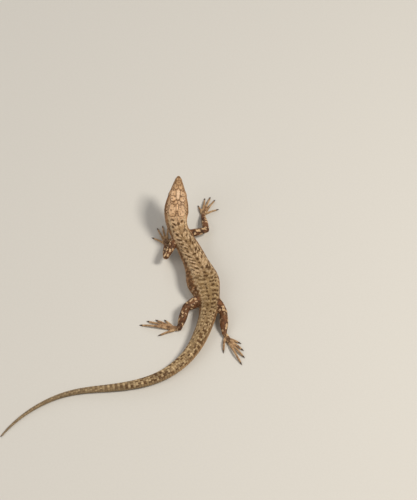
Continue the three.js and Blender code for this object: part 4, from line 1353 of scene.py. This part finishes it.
def skin_map(verts, tris):
    """A bake map for each triangle's corners: strips for the body, the tail, and each length of limb."""
    s, share, gap, _, _ = body_place(verts)
    which, _, limb_gap = bone_place(verts)
    owner = np.where(limb_gap < gap, which, np.where(s < TAIL_START, -1, -2))[tris[:, 0]]
    s, share = s[tris], unwrapped(share[tris])
    tail = (owner == -2)[:, None]
    u = np.where(tail, (s - TAIL_START + 3) / (TOTAL - TAIL_START + 4), s / (TAIL_START + 3))
    v = np.where(tail, 0.32 + 0.07 * share, 0.69 + 0.27 * share)
    u = 0.01 + 0.98 * np.clip(u, 0, 1)
    for number, bone in enumerate(bones):
        here = owner == number
        first, last = bone.points[[0, -1]]
        corner = verts[tris[here]]
        t = (corner - first) @ (last - first) / ((last - first) ** 2).sum()
        at, side, up, _ = bone.axes(np.clip(t, 0, 1))
        turn = np.arctan2(((corner - at) * up).sum(-1), ((corner - at) * side).sum(-1)) / np.pi
        u[here] = (number % PER_LIMB + 0.08 + 0.84 * np.clip((t + 0.3) / 1.6, 0, 1)) / PER_LIMB
        v[here] = (bone.limb + 0.5 + 0.3 * unwrapped(turn)) / LIMB_STRIPS
    return np.stack([u, v], -1)


skin_colour = coat_colour(skin_verts, normals) * crease
mesh_object("skin", skin_verts, skin_tris, skin_colour, skin_map(skin_verts, skin_tris))
claw_rings = [claw.rings(steps=6, sides=10, grow=0.0, round_steps=2) for claw in claws]
mesh_object("claws", *join_lofts(claw_rings))
DRUM = dict(inset=0.42, thick=0.243, share=0.78)
for side, word in ((LEFT, "left"), (RIGHT, "right")):
    lens = DRUM["thick"], EAR["wide"] * DRUM["share"], EAR["tall"] * DRUM["share"]
    place = side * (half_width(EAR["station"]) - DRUM["inset"])
    mesh_object(f"eardrum_{word}", *join_lofts([ball(EAR["station"], place, EAR["up"], lens)]))

# ---------------------------- looks


def grained(name, roughness, size, depth, colour=None, uneven=0.25):
    """A material with a fine grain in its colour, its polish and its relief; sizes in millimetres."""
    material = bpy.data.materials.new(name)
    material.use_nodes = True
    nodes, links = material.node_tree.nodes, material.node_tree.links
    shader = nodes["Principled BSDF"]
    shader.inputs["Specular IOR Level"].default_value = 0.25

    def node(kind, **values):
        made = nodes.new("ShaderNode" + kind)
        for key, value in values.items():
            made.inputs[key.replace("_", " ")].default_value = value
        return made

    grain = node("TexNoise", Scale=1 / (size * MM), Detail=3)
    shade = node("MapRange", To_Min=1 - uneven, To_Max=1 + uneven)
    polish = node("MapRange", To_Min=roughness - 0.08, To_Max=roughness + 0.08)
    relief = node("Bump", Strength=0.4, Distance=depth * MM)
    tint = node("VectorMath")
    tint.operation = "SCALE"
    if colour is None:
        coat = node("Attribute")
        coat.attribute_name = "coat"
        links.new(coat.outputs["Color"], tint.inputs[0])
    else:
        tint.inputs[0].default_value = tuple(colour)
    for source, target in (
        (node("TexCoord").outputs["Object"], grain.inputs["Vector"]),
        (grain.outputs["Fac"], shade.inputs["Value"]),
        (grain.outputs["Fac"], polish.inputs["Value"]),
        (grain.outputs["Fac"], relief.inputs["Height"]),
        (shade.outputs["Result"], tint.inputs["Scale"]),
        (tint.outputs["Vector"], shader.inputs["Base Color"]),
        (polish.outputs["Result"], shader.inputs["Roughness"]),
        (relief.outputs["Normal"], shader.inputs["Normal"]),
    ):
        links.new(source, target)
    return material


coat_look = grained("coat", 0.5, 0.09, 0.012)
eye_look = grained("eye", 0.13, 0.05, 0.0005, uneven=0.12)
eye_look.node_tree.nodes["Principled BSDF"].inputs["Coat Weight"].default_value = 1.0
claw_look = grained("claw_horn", 0.3, 0.1, 0.01, linear(74, 54, 38))
# The nostrils' pits are painted shade.
pit_shade_look = grained("nostril", 0.5, 0.1, 0.01, linear(28, 18, 12))
drum_look = grained("eardrum", 0.3, 0.15, 0.01, linear(92, 66, 48))
flesh = [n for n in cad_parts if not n.startswith(("eye_", "ear_"))]
for name, look, slot, replaced in (
    ("skin", coat_look, "body_skin", flesh),
    ("head_shields", coat_look, "head_skin", []),
    ("head_scales", coat_look, "head_skin", []),
    ("lids_left", coat_look, "head_skin", []),
    ("lids_right", coat_look, "head_skin", []),
    ("back_scales_front", coat_look, "body_skin", []),
    ("back_scales_rear", coat_look, "body_skin", []),
    ("belly_scales", coat_look, "throat_skin", []),
    ("tail_scales", coat_look, "tail_skin", []),
    ("front_limb_scales", coat_look, "limb_skin", []),
    ("hind_limb_scales", coat_look, "limb_skin", []),
    ("claws", claw_look, "limb_skin", []),
    ("nostril_pits", pit_shade_look, "head_skin", []),
    ("eyeball_left", eye_look, "eye", ["eye_left"]),
    ("eyeball_right", eye_look, "eye", ["eye_right"]),
    ("eardrum_left", drum_look, "eardrum", ["ear_left"]),
    ("eardrum_right", drum_look, "eardrum", ["ear_right"]),
):
    piece = bpy.data.objects[name]
    piece.data.materials.append(look)
    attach(piece, "root")
    if replaced:
        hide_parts(*replaced)

# ---------------------------- floor and light

REACH = 3.0
floor_mesh = bpy.data.meshes.new("floor")
corners = [(-REACH, -REACH, 0), (REACH, -REACH, 0), (REACH, REACH, 0), (-REACH, REACH, 0)]
floor_mesh.from_pydata(corners, [], [(0, 1, 2, 3)])
floor_mesh.materials.append(grained("floor", 0.8, 0.8, 0.01, (0.62, 0.6, 0.57), 0.03))
new_object("floor", floor_mesh)


def area_light(name, place, size, power, colour=(1, 1, 1)):
    data = bpy.data.lights.new(name, "AREA")
    data.size, data.energy, data.color = size, power, colour
    lamp = new_object(name, data)
    lamp.location = AIM + Vector(place)
    lamp.rotation_euler = (-Vector(place)).to_track_quat("-Z", "Y").to_euler()


area_light("key", (0.46, -0.12, 0.62), 0.2, 5.0, (1, 0.95, 0.85))
area_light("fill", (-0.6, -0.3, 0.5), 0.6, 1.9, (1, 0.96, 0.9))
area_light("back", (-0.2, 0.7, 0.35), 0.4, 0.9)
world = bpy.data.worlds.new("world")
world.use_nodes = True
background = world.node_tree.nodes["Background"]
background.inputs[0].default_value = (1, 0.97, 0.92, 1)
background.inputs[1].default_value = 0.3
scene.world = world
scene.view_settings.view_transform = "Standard"
